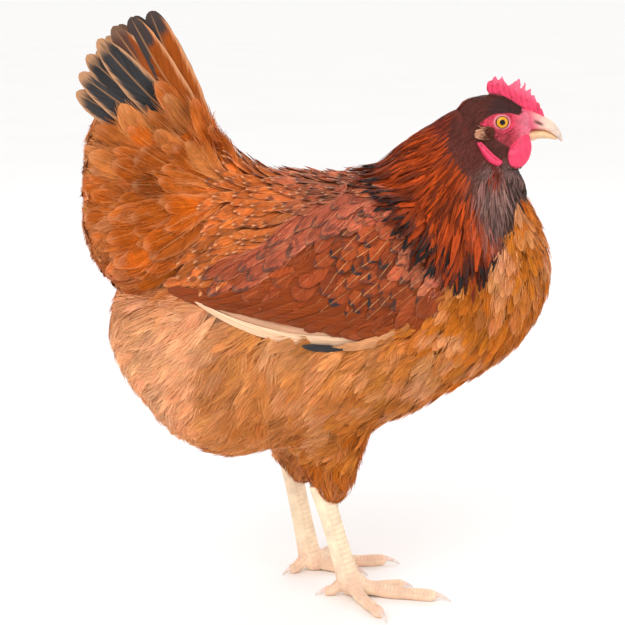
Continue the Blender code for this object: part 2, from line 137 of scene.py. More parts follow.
HEAD = (  # upper edge x z, lower edge x z, half width, how much wider below
    (109, 384, 172, 298, 25, 0.3),
    (117, 396, 175.5, 314, 20.3, 0.1),
    (129, 401, 166, 333, 19.4, -0.2),
    (140, 402, 160, 349, 18.1, -0.3),
    (150, 399.5, 163, 356, 16.7, -0.3),
    (159, 394.5, 166, 360.5, 14, -0.2),
    (167, 389.5, 167.5, 364, 11, -0.1),
    (175, 386, 167, 368, 8, 0),
    (180, 383.5, 166.5, 371, 4.5, 0),
)
BILL_UPPER = (
    (163, 392, 157, 372.6, 11.2, 0.2),
    (173, 388.3, 165.5, 373.4, 10, 0.3),
    (181, 384.6, 175, 374.7, 8.2, 0.36),
    (186.6, 381.3, 182, 373.9, 6.4, 0.3),
    (190.8, 377, 187, 371, 4.5, 0.2),
    (193.7, 372, 190.8, 368, 2.7, 0.1),
    (195.2, 366.4, 194, 365.6, 0.6, 0),
)
BILL_LOWER = (
    (160, 373.6, 163, 362, 9, 0),
    (169, 374.4, 171.5, 365.8, 8, -0.1),
    (177, 375, 177.5, 367.6, 6.9, -0.15),
    (184, 373.4, 184.5, 367.6, 5, -0.1),
    (190.5, 368.6, 190.3, 366.8, 2, 0),
)
WATTLE = (  # the same, and how far out its middle hangs
    (169, 371.5, 160, 370.5, 3.2, 0, 9.8),
    (170.6, 366, 154.5, 363, 3.5, 0, 12.6),
    (170.8, 360, 149.2, 358, 3.9, 0, 14.8),
    (168.6, 353, 147.4, 352, 3.7, 0, 16.2),
    (164, 347.6, 150.5, 347.6, 2.9, 0, 16.6),
    (158.8, 345.3, 155, 345.3, 1.2, 0, 16.4),
)
EARLOBE = (
    (131.5, 367.4, 128.3, 366.2, 1.2, 0, 20),
    (135, 364.4, 130.6, 361.4, 2, 0, 21.6),
    (138.4, 361, 133.2, 356.6, 2.5, 0, 22.8),
    (141.8, 357.6, 136.8, 352.4, 2.7, 0, 23.4),
    (145.2, 354.6, 141, 349.4, 2.7, 0, 23.2),
    (147.8, 352.8, 144.8, 348.2, 2.2, 0, 22.6),
    (148.6, 351.8, 147.2, 349.6, 1.2, 0, 22.2),
)
# The comb's edge from the back of the crown over its points to the bill, and the line that it grows from.
COMB_EDGE = (
    (137.5, 401.5), (134.8, 405.6), (135.4, 409.6), (137.2, 412), (139.6, 412.9), (141.9, 416.3),
    (143.9, 412.4), (145.4, 413.2), (147, 416.4), (148.8, 411.2), (150.3, 410.6), (151.9, 408.4),
    (155, 410.6), (160.3, 414.2), (161.2, 410), (161.3, 405.2), (162.7, 407.2), (164.9, 412.4),
    (165.5, 407.6), (165.3, 403.4), (167.2, 404.6), (169.4, 407.8), (169.9, 403.6), (169.8, 399.4),
    (171.8, 402.4), (173, 398.6), (173.8, 396.4), (176.2, 395.4), (176.9, 391.2), (178.4, 390.4),
    (179.6, 386.6), (181.4, 383.2),
)
COMB_FOOT = ((140.5, 398.5), (150, 396), (160, 390.5), (170, 384.5), (180.5, 379.5))

# The bare red face, seen from the side.
BARE_FACE = (
    (182, 384), (176, 386.6), (170, 388.2), (164.6, 389.4), (161.2, 386.6), (155.4, 388.4), (147.5, 388.7),
    (140, 387), (133.6, 383.4), (130.8, 379.6), (136.8, 377.4), (139.6, 372), (146.3, 367.2),
    (153.1, 363.4), (158, 358.5), (168, 356), (175, 362),
)
# Where the lobe folds, and the middle of the nostril.
LOBE_CREASE = ((131, 367), (134, 363.4), (137.5, 359.6), (141, 356), (144.6, 353.2), (148, 351.6))
NOSTRIL = (176, 380.4)

# --- tables of the legs

Leg = namedtuple("Leg", "ball hock out hind reach")
LEGS = {
    "right": Leg((30, 29), (7.5, 27, 89), math.radians(11), math.radians(165), 1),
    "left": Leg((-2, 29), (-21, 27, 108), math.radians(9), math.radians(205), 0.92),
}
Toe = namedtuple("Toe", "angle length claw radius joints")
TOES = (
    Toe(0, 20, 8, 4.4, 1),
    Toe(math.radians(-28), 46, 9, 4.5, 2),
    Toe(0, 71, 12, 5, 3),
    Toe(math.radians(54), 56, 10, 4.6, 4),
)
SHANK_RADIUS = 6.4
SHANK_PLATE, TOE_PLATE = 4.3, 3.1  # from one plate to the next
CLAW_ROOT = 4.5  # how far a claw reaches back into its toe


# --- shapes as arrays of points and faces


def through(values, shares):
    """The smooth curve through rows of numbers, at shares from 0 to 1."""
    values = np.asarray(values, float)
    spans = len(values) - 1
    place = np.clip(np.asarray(shares, float) * spans, 0, spans - 1e-9)
    at = place.astype(int)
    t = (place - at)[..., None]
    a, b, c, d = (values[np.clip(at + k, 0, spans)] for k in (-1, 0, 1, 2))
    return b + 0.5 * t * (c - a + t * (2 * a - 5 * b + 4 * c - d + t * (3 * (b - c) + d - a)))


def straight(values, shares):
    """The broken line through rows of numbers, evenly along its length."""
    values = np.asarray(values, float)
    length = np.append(0, np.cumsum(np.linalg.norm(np.diff(values, axis=0), axis=1)))
    return np.stack([np.interp(np.asarray(shares) * length[-1], length, v) for v in values.T], -1)


def loft(table, sides, steps, side=0, turn=True):
    """Rings of points through a table, as (rings, sides, 3)."""
    count = steps * (len(table) - 1) + 1
    rows = through(table, np.linspace(0, 1, count))
    out = rows[:, 6] if rows.shape[1] > 6 else np.zeros(count)
    angle = around(sides)
    cos, sin = np.cos(angle), np.sin(angle)
    middle, arm = (rows[:, 0:2] + rows[:, 2:4]) / 2, (rows[:, 0:2] - rows[:, 2:4]) / 2
    xz = middle[:, None] + arm[:, None] * sin[None, :, None]
    y = rows[:, 4, None] * cos * (1 - rows[:, 5:6] * sin) + side * out[:, None]
    points = np.stack([xz[..., 0], y, xz[..., 1]], -1)
    return turned(points) if turn else points


def square_to(ahead):
    """The directions beside and over a path that runs ahead."""
    beside = unit(np.cross(ahead, (0, 0, 1)) + (0, 1e-6, 0))
    return beside, np.cross(beside, ahead)


def tube(path, radii, sides, flat=1):
    """Rings square to a path, with a vertex on top."""
    beside, over = square_to(unit(np.gradient(path, axis=0)))
    angle = around(sides)[None, :, None]
    ring = beside[:, None] * np.sin(angle) + over[:, None] * (flat * np.cos(angle))
    return path[:, None] + ring * radii[:, None, None]


def closed(rings):
    """Points and faces of a closed body through rings: quads, and one face at each end."""
    count, sides = rings.shape[:2]
    i = np.arange(sides)
    j = (i + 1) % sides
    rows = np.arange(count - 1)[:, None] * sides
    quads = np.stack([rows + i, rows + j, rows + sides + j, rows + sides + i], -1).reshape(-1, 4)
    ends = [tuple(range(sides))[::-1], tuple((count - 1) * sides + i)]
    return rings.reshape(-1, 3), [tuple(quad) for quad in quads] + ends


def slab(upper, lower, thick_upper, thick_lower, rows=8):
    """A closed blade between two lines of points in the plane y = 0, thicker at its foot."""
    t = np.linspace(0, 1, rows)[None, :, None]
    flat = upper[:, None] * t + lower[:, None] * (1 - t)
    foot = (1 - t[..., 0]) ** 0.8
    thick = (thick_lower[:, None] * foot + thick_upper * (1 - foot)) * (1 - 0.65 * ramp(t[..., 0], 0.8, 1)) / 2
    outline = np.concatenate([flat, flat[:, ::-1]], 1)
    y = np.concatenate([thick, -thick[:, ::-1]], 1)
    return closed(np.stack([outline[..., 0], y, outline[..., 1]], -1))


def mesh_object(name, points, faces, material=None):
    """An object with smooth faces, which are an array of quads or a list."""
    mesh = bpy.data.meshes.new(name)
    if isinstance(faces, np.ndarray):
        sides = faces.shape[1]
        mesh.vertices.add(len(points))
        mesh.vertices.foreach_set("co", np.ascontiguousarray(points, np.float32).ravel())
        mesh.loops.add(faces.size)
        mesh.loops.foreach_set("vertex_index", faces.ravel().astype(np.int32))
        mesh.polygons.add(len(faces))
        mesh.polygons.foreach_set("loop_start", np.arange(0, faces.size, sides, dtype=np.int32))
        mesh.update(calc_edges=True)
    else:
        mesh.from_pydata(np.asarray(points).tolist(), [], faces)
    mesh.shade_smooth()
    if material:
        mesh.materials.append(material)
    made = bpy.data.objects.new(name, mesh)
    bpy.context.scene.collection.objects.link(made)
    return made


def read(items, key, width=3, kind=np.float32):
    """What each of a mesh's items holds, as rows of that width."""
    values = np.empty(len(items) * width, kind)
    items.foreach_get(key, values)
    return values.reshape(-1, width)


def note(mesh, name, vectors):
    """Gives each point of a mesh a vector that its material reads."""
    held = mesh.attributes.new(name, "FLOAT_VECTOR", "POINT")
    held.data.foreach_set("vector", np.ascontiguousarray(vectors, np.float32).ravel())


def paint(mesh, colour):
    """Gives each point of a mesh its ground colour."""
    four = np.ones((len(colour), 4), np.float32)
    four[:, : colour.shape[1]] = np.clip(colour, 0, 1)
    mesh.attributes.new("tint", "FLOAT_COLOR", "POINT").data.foreach_set("color", four.ravel())


def in_model(piece, slot, *nodes):
    """Puts a piece drawn in millimetres in the model, riding on its body in place of those nodes."""
    mesh = piece.data
    mesh.vertices.foreach_set("co", ((read(mesh.vertices, "co") + SHIFT) * MM).astype(np.float32).ravel())
    mesh.update()
    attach(piece, "root")
    if nodes:
        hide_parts(*nodes)
    return piece


def joined(bodies):
    """Points and faces of several bodies as one."""
    points, faces, count = [], [], 0
    for body_points, body_faces in bodies:
        points.append(np.asarray(body_points, float))
        faces += [tuple(int(i) + count for i in face) for face in body_faces]
        count += len(body_points)
    return np.concatenate(points), faces


def remeshed(bodies, voxel):
    """Points and quads of one skin over closed bodies that overlap."""
    made = mesh_object("remesh", *joined(bodies))
    modifier = made.modifiers.new("skin", "REMESH")
    modifier.mode, modifier.voxel_size = "VOXEL", voxel
    mesh = bpy.data.meshes.new_from_object(made.evaluated_get(bpy.context.evaluated_depsgraph_get()))
    points = read(mesh.vertices, "co").astype(float)
    quads = read(mesh.loops, "vertex_index", 1, np.int32).reshape(-1, 4)
    bpy.data.objects.remove(made)
    bpy.data.meshes.remove(mesh)
    return points, quads


def spread(points, index, values):
    """Sums values at the points that index names."""
    return np.stack([np.bincount(index, v, len(points)) for v in values.T], -1)


def eased(points, quads, rounds):
    """Points after smoothing each towards its neighbours."""
    start, end = quads.T.ravel(), np.roll(quads, -1, axis=1).T.ravel()
    near = np.bincount(np.append(start, end), minlength=len(points))[:, None]
    for _ in range(rounds):
        total = spread(points, start, points[end]) + spread(points, end, points[start])
        points = points + 0.5 * (total / np.maximum(near, 1) - points)
    return points


def normals_of(points, quads):
    a, b, c, d = (points[quads[:, k]] for k in range(4))
    face = np.cross(c - a, d - b)
    return unit(spread(points, quads.ravel(), np.repeat(face, 4, axis=0)))


def cad(*names):
    """Points and faces of CAD nodes in the drawing's axes, a little swollen so that they overlap."""
    bodies = []
    for name in names:
        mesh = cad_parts[name].data
        corners = read(mesh.vertices, "co") / MM - SHIFT
        _, first, index = np.unique(np.round(corners, 2), axis=0, return_index=True, return_inverse=True)
        points = corners[first].astype(float)
        mesh.calc_loop_triangles()
        tris = index.reshape(-1)[read(mesh.loop_triangles, "vertices", kind=np.int32)]
        tris = tris[(tris != np.roll(tris, 1, axis=1)).all(1)]
        a, b, c = (points[tris[:, k]] for k in range(3))
        out = unit(spread(points, tris.ravel(), np.repeat(np.cross(b - a, c - a), 3, axis=0)))
        bodies.append((points + 0.35 * out, tris))
    return bodies


def tree_of(bodies):
    points, faces = joined(bodies)
    return BVHTree.FromPolygons(points.tolist(), faces)


def distance(tree, points):
    return np.array([tree.find_nearest(p)[3] for p in points.tolist()])


def to_polygon(points, corners):
    """Distance in the side view from a polygon's edge, negative inside."""
    p = np.stack(side_view(points), -1)[..., None, :]
    a = np.asarray(corners, float)
    b = np.roll(a, -1, axis=0)
    along = np.clip(((p - a) * (b - a)).sum(-1) / ((b - a) ** 2).sum(-1), 0, 1)
    gap = np.linalg.norm(p - a - along[..., None] * (b - a), axis=-1).min(-1)
    crosses = (a[:, 1] > p[..., 1]) != (b[:, 1] > p[..., 1])
    level = np.where(a[:, 1] == b[:, 1], 1e-9, b[:, 1] - a[:, 1])
    inside = (crosses & (p[..., 0] < (b[:, 0] - a[:, 0]) * (p[..., 1] - a[:, 1]) / level + a[:, 0])).sum(-1) % 2
    return np.where(inside == 1, -gap, gap)


# --- colours


def linear(code):
    """Linear colour of an sRGB hex code."""
    values = np.array([int(code[k : k + 2], 16) for k in (1, 3, 5)]) / 255
    return np.where(values <= 0.04045, values / 12.92, ((values + 0.055) / 1.055) ** 2.4)


def tone(name, code, what):
    return FloatVectorProperty(
        name=name, description=what, subtype="COLOR", size=3, min=0, max=1, default=tuple(linear(code))
    )


def number(name, value, what, unit="NONE", least=0):
    return FloatProperty(name=name, description=what, default=value, min=least, unit=unit)


def span(name, millimetres, what, least=0):
    return number(name, millimetres * MM, what, "LENGTH", least * MM)


class HenColours(bpy.types.PropertyGroup):
    """Ground colours of the plumage and of the bare parts."""

    crown: tone("Crown", "#5C2C24", "Mahogany of the crown and brow")
    nape: tone("Nape", "#762818", "Brown-red of the upper neck")
    hackle: tone("Hackle", "#A63C06", "Flame orange of the hackle feathers")
    bib: tone("Bib", "#7A5A54", "Plum brown of the front of the neck")
    breast: tone("Breast", "#C8701C", "Orange buff of the breast")
    belly: tone("Belly", "#C47630", "Softer buff of the belly")
    flank: tone("Flank", "#D68848", "Downy buff of the flanks")
    vent: tone("Vent", "#EFAF7E", "Pale down at the rear")
    thigh: tone("Thigh", "#B66014", "Orange brown of the thighs")
    back: tone("Back", "#B05A38", "Chestnut of the back")
    saddle: tone("Saddle", "#C46428", "Orange chestnut of the saddle")
    cushion: tone("Cushion", "#B05206", "Orange of the cushion round the tail")
    covert: tone("Wing coverts", "#94401A", "Rust of the wing coverts")
    scapular: tone("Scapulars", "#C6664C", "Brick red of the shoulder feathers")
    secondary: tone("Secondaries", "#84360A", "Rich brown of the folded secondaries")
    primary: tone("Primaries", "#EBC29E", "Cream of the long flight feathers")
    slate: tone("Slate", "#343233", "Blue-black of the tail and of the dark marks")
    shaft: tone("Shafts", "#D89C68", "Straw of the feather shafts")
    comb: tone("Comb", "#E83C62", "Pink-red of comb and wattles")
    face: tone("Face", "#C9364F", "Red of the bare face")
    leg: tone("Legs", "#F8DFBE", "Pale cream of the leg scales")
    horn: tone("Horn", "#EBC9B2", "Pale horn of bill and claws")
    iris: tone("Iris", "#E0A018", "Golden iris")


class HenSizes(bpy.types.PropertyGroup):
    """Sizes of the coat."""

    body_voxel: span("Body skin grain", 2.6, "Size of the body skin's faces", 1)
    head_voxel: span("Head skin grain", 0.55, "Size of the head skin's faces", 0.3)
    leg_voxel: span("Leg skin grain", 0.8, "Size of the leg skin's faces", 0.4)
    body_depth: span("Coat depth", 6.5, "Depth of the body's plumage over the skin")
    cushion_depth: span("Cushion depth", 9, "Depth of the coverts over the root of the tail")
    wing_depth: span("Wing coat depth", 5, "Depth of the coverts over the wing")
    tail_feathers: IntProperty(
        name="Tail feathers", description="Feathers in each half of the tail", default=7, min=3, max=10
    )


class HenStage(bpy.types.PropertyGroup):
    """The studio round the hen."""

    backdrop: tone("Backdrop", "#FCFBFA", "Pale floor")
    key: number("Key light", 17, "Power of the large soft key light", "POWER")
    fill: number("Fill light", 4.5, "Power of the fill light", "POWER")
    sky: number("Room light", 1, "Strength of the even light from all round")
    lens: number("Lens", 93.6, "Focal length of the camera", "CAMERA", 1)
    away: span("Camera distance", 1300, "From the camera to the middle of the hen", 200)
    tilt: FloatProperty(
        name="Camera tilt", description="How far the camera looks down", default=math.radians(12), subtype="ANGLE"
    )


def hen_colour(name):
    """One of the hen's own colours."""
    return np.array(getattr(bpy.context.scene.hen_colours, name))


# --- materials


def add_node(tree, kind, *values, **settings):
    """Adds a node with its settings and links, and returns its first output in use.

    Each value, or what feeds it, goes to the next socket. A dict of them goes to the sockets that it names.
    """
    node = tree.nodes.new("ShaderNode" + kind)
    for key, value in settings.items():
        setattr(node, key, value)
    named = values[0] if values and isinstance(values[0], dict) else dict(enumerate(values))
    for key, value in named.items():
        if isinstance(value, bpy.types.NodeSocket):
            tree.links.new(value, node.inputs[key])
        else:
            node.inputs[key].default_value = value
    return next((output for output in node.outputs if output.enabled), None)


def blank(name):
    """A new material with no nodes, and what adds a node to it."""
    made = bpy.data.materials.new(name)
    made.use_nodes = True
    made.node_tree.nodes.clear()
    return made, partial(add_node, made.node_tree)


def held(add, name):
    """x, y and z of a vector that the mesh holds."""
    return add("SeparateXYZ", add("Attribute", attribute_name=name).node.outputs["Vector"]).node.outputs


def plumage(name, slant, fine, contrast, roughness, sheen, dusk):
    """Keratin vanes, matt to silky: barbs show as fine streaks that slant from a pale shaft, with dark tips or bars.

    slant is how steeply the barbs leave the shaft, fine is how many streaks lie along a vane, and contrast is how
    plainly they show. Real barbs are 0.3 mm apart, too fine to show, so each streak is a lock of several.
    """
    made, add = blank(name)
    u, v, seed = held(add, "lie")
    dark, start, shaft = held(add, "mark")
    edge, bars, skew = held(add, "trim")
    painted = add("Attribute", attribute_name="tint").node.outputs
    tint, pale = painted["Color"], painted["Alpha"]
    side = add("Math", u, operation="ABSOLUTE")
    barb = add("Math", side, -slant, v, operation="MULTIPLY_ADD")
    place, broad = (
        add("CombineXYZ", *[add("Math", value, often, operation="MULTIPLY") for value, often in coordinates])
        for coordinates in (((barb, fine), (u, 1.4), (seed, 83)), ((v, 3.2), (u, 1.1), (seed, 47)))
    )
    streak = add("TexNoise", {"Vector": place, "Scale": 1, "Detail": 3, "Roughness": 0.65})
    blotch = add("TexNoise", {"Vector": broad, "Scale": 1, "Detail": 1})
    shade = add("MapRange", streak, 0.3, 0.72, 1 - 0.28 * contrast, 1 + 0.3 * contrast)
    shade = add("Math", shade, add("MapRange", blotch, 0.3, 0.7, 0.86, 1.12), operation="MULTIPLY")
    ground = add("VectorMath", {0: tint, "Scale": shade}, operation="SCALE")
    # Pale rim, on the two edges and the end.
    end = add("MapRange", v, 0.66, 1)
    rim = add("Math", side, end, operation="MAXIMUM")
    rim = add("Math", streak, 0.5, rim, operation="MULTIPLY_ADD")
    rim = add("MapRange", rim, 0.92, 1.3, interpolation_type="SMOOTHSTEP")
    rim = add("Math", rim, edge, operation="MULTIPLY")
    paler = add("Mix", {0: 0.55, 6: tint, 7: (*hen_colour("vent"), 1)}, data_type="RGBA")
    body = add("Mix", {0: rim, 6: ground, 7: paler}, data_type="RGBA")
    # Dark end or bars, with a ragged border.
    ragged = v
    for value, weight in ((blotch, 0.5), (streak, 0.25), (side, 0.14), (u, skew)):
        ragged = add("Math", value, weight, ragged, operation="MULTIPLY_ADD")
    reach = [add("Math", start, later, operation="ADD") for later in (0.36, 0.46)]
    tip = add("MapRange", ragged, *reach, interpolation_type="SMOOTHSTEP")
    tip = add("Math", tip, dark, operation="MULTIPLY")
    wave = add("Math", add("Math", ragged, 17, operation="MULTIPLY"), operation="SINE")
    wave = add("MapRange", wave, 0.25, 0.75, interpolation_type="SMOOTHSTEP")
    bar = add("Math", wave, bars, operation="MULTIPLY")
    black = add("Math", tip, bar, operation="MAXIMUM")
    body = add("Mix", {0: black, 6: body, 7: (*linear(dusk), 1)}, data_type="RGBA")
    # A pale pointed end, and the shaft, a straw-coloured line along the part that shows.
    last = add("Math", side, -0.16, v, operation="MULTIPLY_ADD")
    last = add("MapRange", last, 0.8, 0.9, interpolation_type="SMOOTHSTEP")
    last = add("Math", last, pale, operation="MULTIPLY")
    body = add("Mix", {0: last, 6: body, 7: paler}, data_type="RGBA")
    line = add("MapRange", side, 0.09, 0.03, interpolation_type="SMOOTHSTEP")
    line = add("Math", line, add("MapRange", v, 1, 0.93), operation="MULTIPLY")
    line = add("Math", line, shaft, operation="MULTIPLY")
    body = add("Mix", {0: line, 6: body, 7: (*hen_colour("shaft"), 1)}, data_type="RGBA")
    relief = add("Bump", {"Height": streak, "Strength": 0.45 * contrast, "Distance": 0.0004})
    gloss = add("MapRange", streak, 0.3, 0.7, roughness + 0.12, roughness - 0.08)
    shader = add("BsdfPrincipled", {
        "Base Color": body, "Roughness": gloss, "Normal": relief, "IOR": 1.54,
        "Sheen Weight": sheen, "Sheen Roughness": 0.45, "Sheen Tint": (1, 0.82, 0.68, 1),
        "Specular IOR Level": 0.12,
    })
    add("OutputMaterial", {"Surface": shader})
    return made


def bare_skin():
    """Bare, blood-filled skin: velvety granules about 0.7 mm across, moist sheen, light that soaks in a little."""
    made, add = blank("granular_red_skin")
    tint = add("Attribute", attribute_name="tint").node.outputs["Color"]
    grain, shine, _ = held(add, "grain")
    place = add("TexCoord").node.outputs["Object"]
    cells = add("TexVoronoi", {"Vector": place, "Scale": 1 / 0.0011}, feature="SMOOTH_F1")
    rough = add("TexNoise", {"Vector": place, "Scale": 1 / 0.0035, "Detail": 4})
    height = add("Math", cells, -0.8, rough, operation="MULTIPLY_ADD")
    height = add("Math", height, grain, operation="MULTIPLY")
    # Each granule is painted lighter in its middle and darker at its edge, in step with its bump: painted light on the
    # tops and painted shade between them.
    lift = add("MapRange", cells, 0.1, 0.75, 1.16, 0.8)
    lift = add("Mix", {0: grain, 2: 1, 3: lift})
    blush = add("MapRange", rough, 0.35, 0.68, 0.86, 1.14)
    colour = add("VectorMath", {0: tint, "Scale": add("Math", lift, blush, operation="MULTIPLY")}, operation="SCALE")
    relief = add("Bump", {"Height": height, "Strength": 0.55, "Distance": 0.0005})
    gloss = add("MapRange", shine, 0, 1, 0.75, 0.42)
    shader = add("BsdfPrincipled", {
        "Base Color": colour, "Roughness": gloss, "Normal": relief, "IOR": 1.4,
        "Subsurface Weight": 0.12, "Subsurface Radius": (1, 0.25, 0.2), "Subsurface Scale": 0.0015,
    })
    add("OutputMaterial", {"Surface": shader})
    return made


def leg_scales():
    """Dry horny scutes over cream skin: waxy, faintly pink between the plates, a little dust in the joints."""
    made, add = blank("cream_leg_scutes")
    tint = add("Attribute", attribute_name="tint").node.outputs["Color"]
    groove, _, _ = held(add, "grain")
    place = add("TexCoord").node.outputs["Object"]
    fine = add("TexVoronoi", {"Vector": place, "Scale": 1 / 0.0019}, feature="DISTANCE_TO_EDGE")
    fine = add("MapRange", fine, 0, 0.12)
    cloud = add("TexNoise", {"Vector": place, "Scale": 1 / 0.009, "Detail": 5})
    shade = add("MapRange", cloud, 0.35, 0.68, 0.88, 1.08)
    shade = add("Math", shade, add("MapRange", fine, 0, 1, 0.9, 1.02), operation="MULTIPLY")
    colour = add("VectorMath", {0: tint, "Scale": shade}, operation="SCALE")
    dust = add("Math", groove, 0.55, operation="MULTIPLY")
    colour = add("Mix", {0: dust, 6: colour, 7: (*linear("#C98F6E"), 1)}, data_type="RGBA")
    height = add("Math", fine, 0.5, cloud, operation="MULTIPLY_ADD")
    relief = add("Bump", {"Height": height, "Strength": 0.3, "Distance": 0.0004})
    shader = add("BsdfPrincipled", {
        "Base Color": colour, "Roughness": 0.52, "Normal": relief, "IOR": 1.5,
        "Subsurface Weight": 0.08, "Subsurface Radius": (1, 0.5, 0.3), "Subsurface Scale": 0.001,
    })
    add("OutputMaterial", {"Surface": shader})
    return made


def horn():
    """Keratin of bill and claws: semi-gloss, growth lines 0.8 mm apart, pinker where it leaves the flesh."""
    made, add = blank("pale_horn")
    tint = add("Attribute", attribute_name="tint").node.outputs["Color"]
    along, _, _ = held(add, "grain")
    place = add("TexCoord").node.outputs["Object"]
    cloud = add("TexNoise", {"Vector": place, "Scale": 1 / 0.004, "Detail": 4})
    growth = add("Math", along, 7, cloud, operation="MULTIPLY_ADD")
    growth = add("Math", growth, operation="SINE")
    shade = add("MapRange", cloud, 0.3, 0.7, 0.86, 1.1)
    shade = add("Math", growth, 0.03, shade, operation="MULTIPLY_ADD")
    colour = add("VectorMath", {0: tint, "Scale": shade}, operation="SCALE")
    relief = add("Bump", {"Height": growth, "Strength": 0.12, "Distance": 0.0002})
    shader = add("BsdfPrincipled", {
        "Base Color": colour, "Roughness": 0.36, "Normal": relief, "IOR": 1.54,
        "Coat Weight": 0.15, "Coat Roughness": 0.2,
        "Subsurface Weight": 0.1, "Subsurface Radius": (1, 0.6, 0.4), "Subsurface Scale": 0.001,
    })
    add("OutputMaterial", {"Surface": shader})
    return made


def wet_eye():
    """A wet eyeball: clear gloss over a golden iris with fine spokes, a black pupil and a dark rim."""
    made, add = blank("wet_golden_eye")
    out, angle, _ = held(add, "grain")
    fine = ((angle, 9), (out, 0.5))
    place = add("CombineXYZ", *[add("Math", value, often, operation="MULTIPLY") for value, often in fine])
    spokes = add("TexNoise", {"Vector": place, "Scale": 1, "Detail": 3})
    shade = add("MapRange", spokes, 0.3, 0.7, 0.7, 1.25)
    gold = add("VectorMath", {0: tuple(hen_colour("iris")), "Scale": shade}, operation="SCALE")
    inner = add("MapRange", out, 2.1, 3, 1, 0, interpolation_type="SMOOTHSTEP")
    inner = add("Math", inner, 0.6, operation="MULTIPLY")
    rim = add("MapRange", out, 3.9, 4.5, interpolation_type="SMOOTHSTEP")
    pupil = add("MapRange", out, 1.95, 2.15, 1, 0, interpolation_type="SMOOTHSTEP")
    colour = gold
    for share, other in ((inner, linear("#8A4A12")), (rim, linear("#3A2418")), (pupil, (0.004, 0.003, 0.003))):
        colour = add("Mix", {0: share, 6: colour, 7: (*other, 1)}, data_type="RGBA")
    shader = add("BsdfPrincipled", {
        "Base Color": colour, "Roughness": 0.4, "IOR": 1.38, "Specular IOR Level": 0,
        "Coat Weight": 1, "Coat Roughness": 0.02, "Coat IOR": 1.34,
    })
    add("OutputMaterial", {"Surface": shader})
    return made


def floor_paint(backdrop):
    """Matt studio paint, a little cloudy so that it doesn't look like a void."""
    made, add = blank("studio_paint")
    place = add("TexCoord").node.outputs["Object"]
    cloud = add("TexNoise", {"Vector": place, "Scale": 2, "Detail": 3})
    shade = add("MapRange", cloud, 0.3, 0.7, 0.98, 1)
    colour = add("VectorMath", {0: backdrop, "Scale": shade}, operation="SCALE")
    shader = add("BsdfPrincipled", {"Base Color": colour, "Roughness": 0.9, "Specular IOR Level": 0.1})
    add("OutputMaterial", {"Surface": shader})
    return made


# --- the plumage's map

CAPE = (138, 372)  # the hackle spreads from here
# The folded wing's edge in the side view.
WING_EDGE = (
    (112, 336), (66, 331), (36, 327), (6, 316), (-17, 301), (-40, 285), (-59, 273), (-76, 265), (-107, 251),
    (-85, 247), (-47, 239), (-9, 229), (28, 219), (58, 224), (88, 239), (110, 262),
)
# The part of it near the tip where no covert is rooted, so that the plain secondaries show.
WING_TIP = ((-40, 300), (-30, 262), (-8, 258), (2, 244), (26, 238), (34, 210), (-120, 230), (-120, 290))
# How far the hackle's tips reach from there, at each angle in the side view.
CAPE_REACH = (
    (150, 98), (180, 101), (199, 106), (223, 108), (245, 114), (257, 117), (264, 110), (272, 94), (281, 77), (292, 60),
    (308, 50), (330, 44), (360, 40),
)
MAP_PATCH = 0.003  # how much of the map one feather takes


def cape(points):
    """How far down the hackle places are in the side view, 1 where its tips end, and the reach there."""
    x, z = side_view(points)
    dx, dz = x - CAPE[0], z - CAPE[1]
    angle = np.degrees(np.arctan2(dz, dx)) % 360
    angle = np.where(angle < 90, 360, angle)
    reach = np.interp(angle, *np.array(CAPE_REACH, float).T)
    return np.hypot(dx, dz) / reach, reach


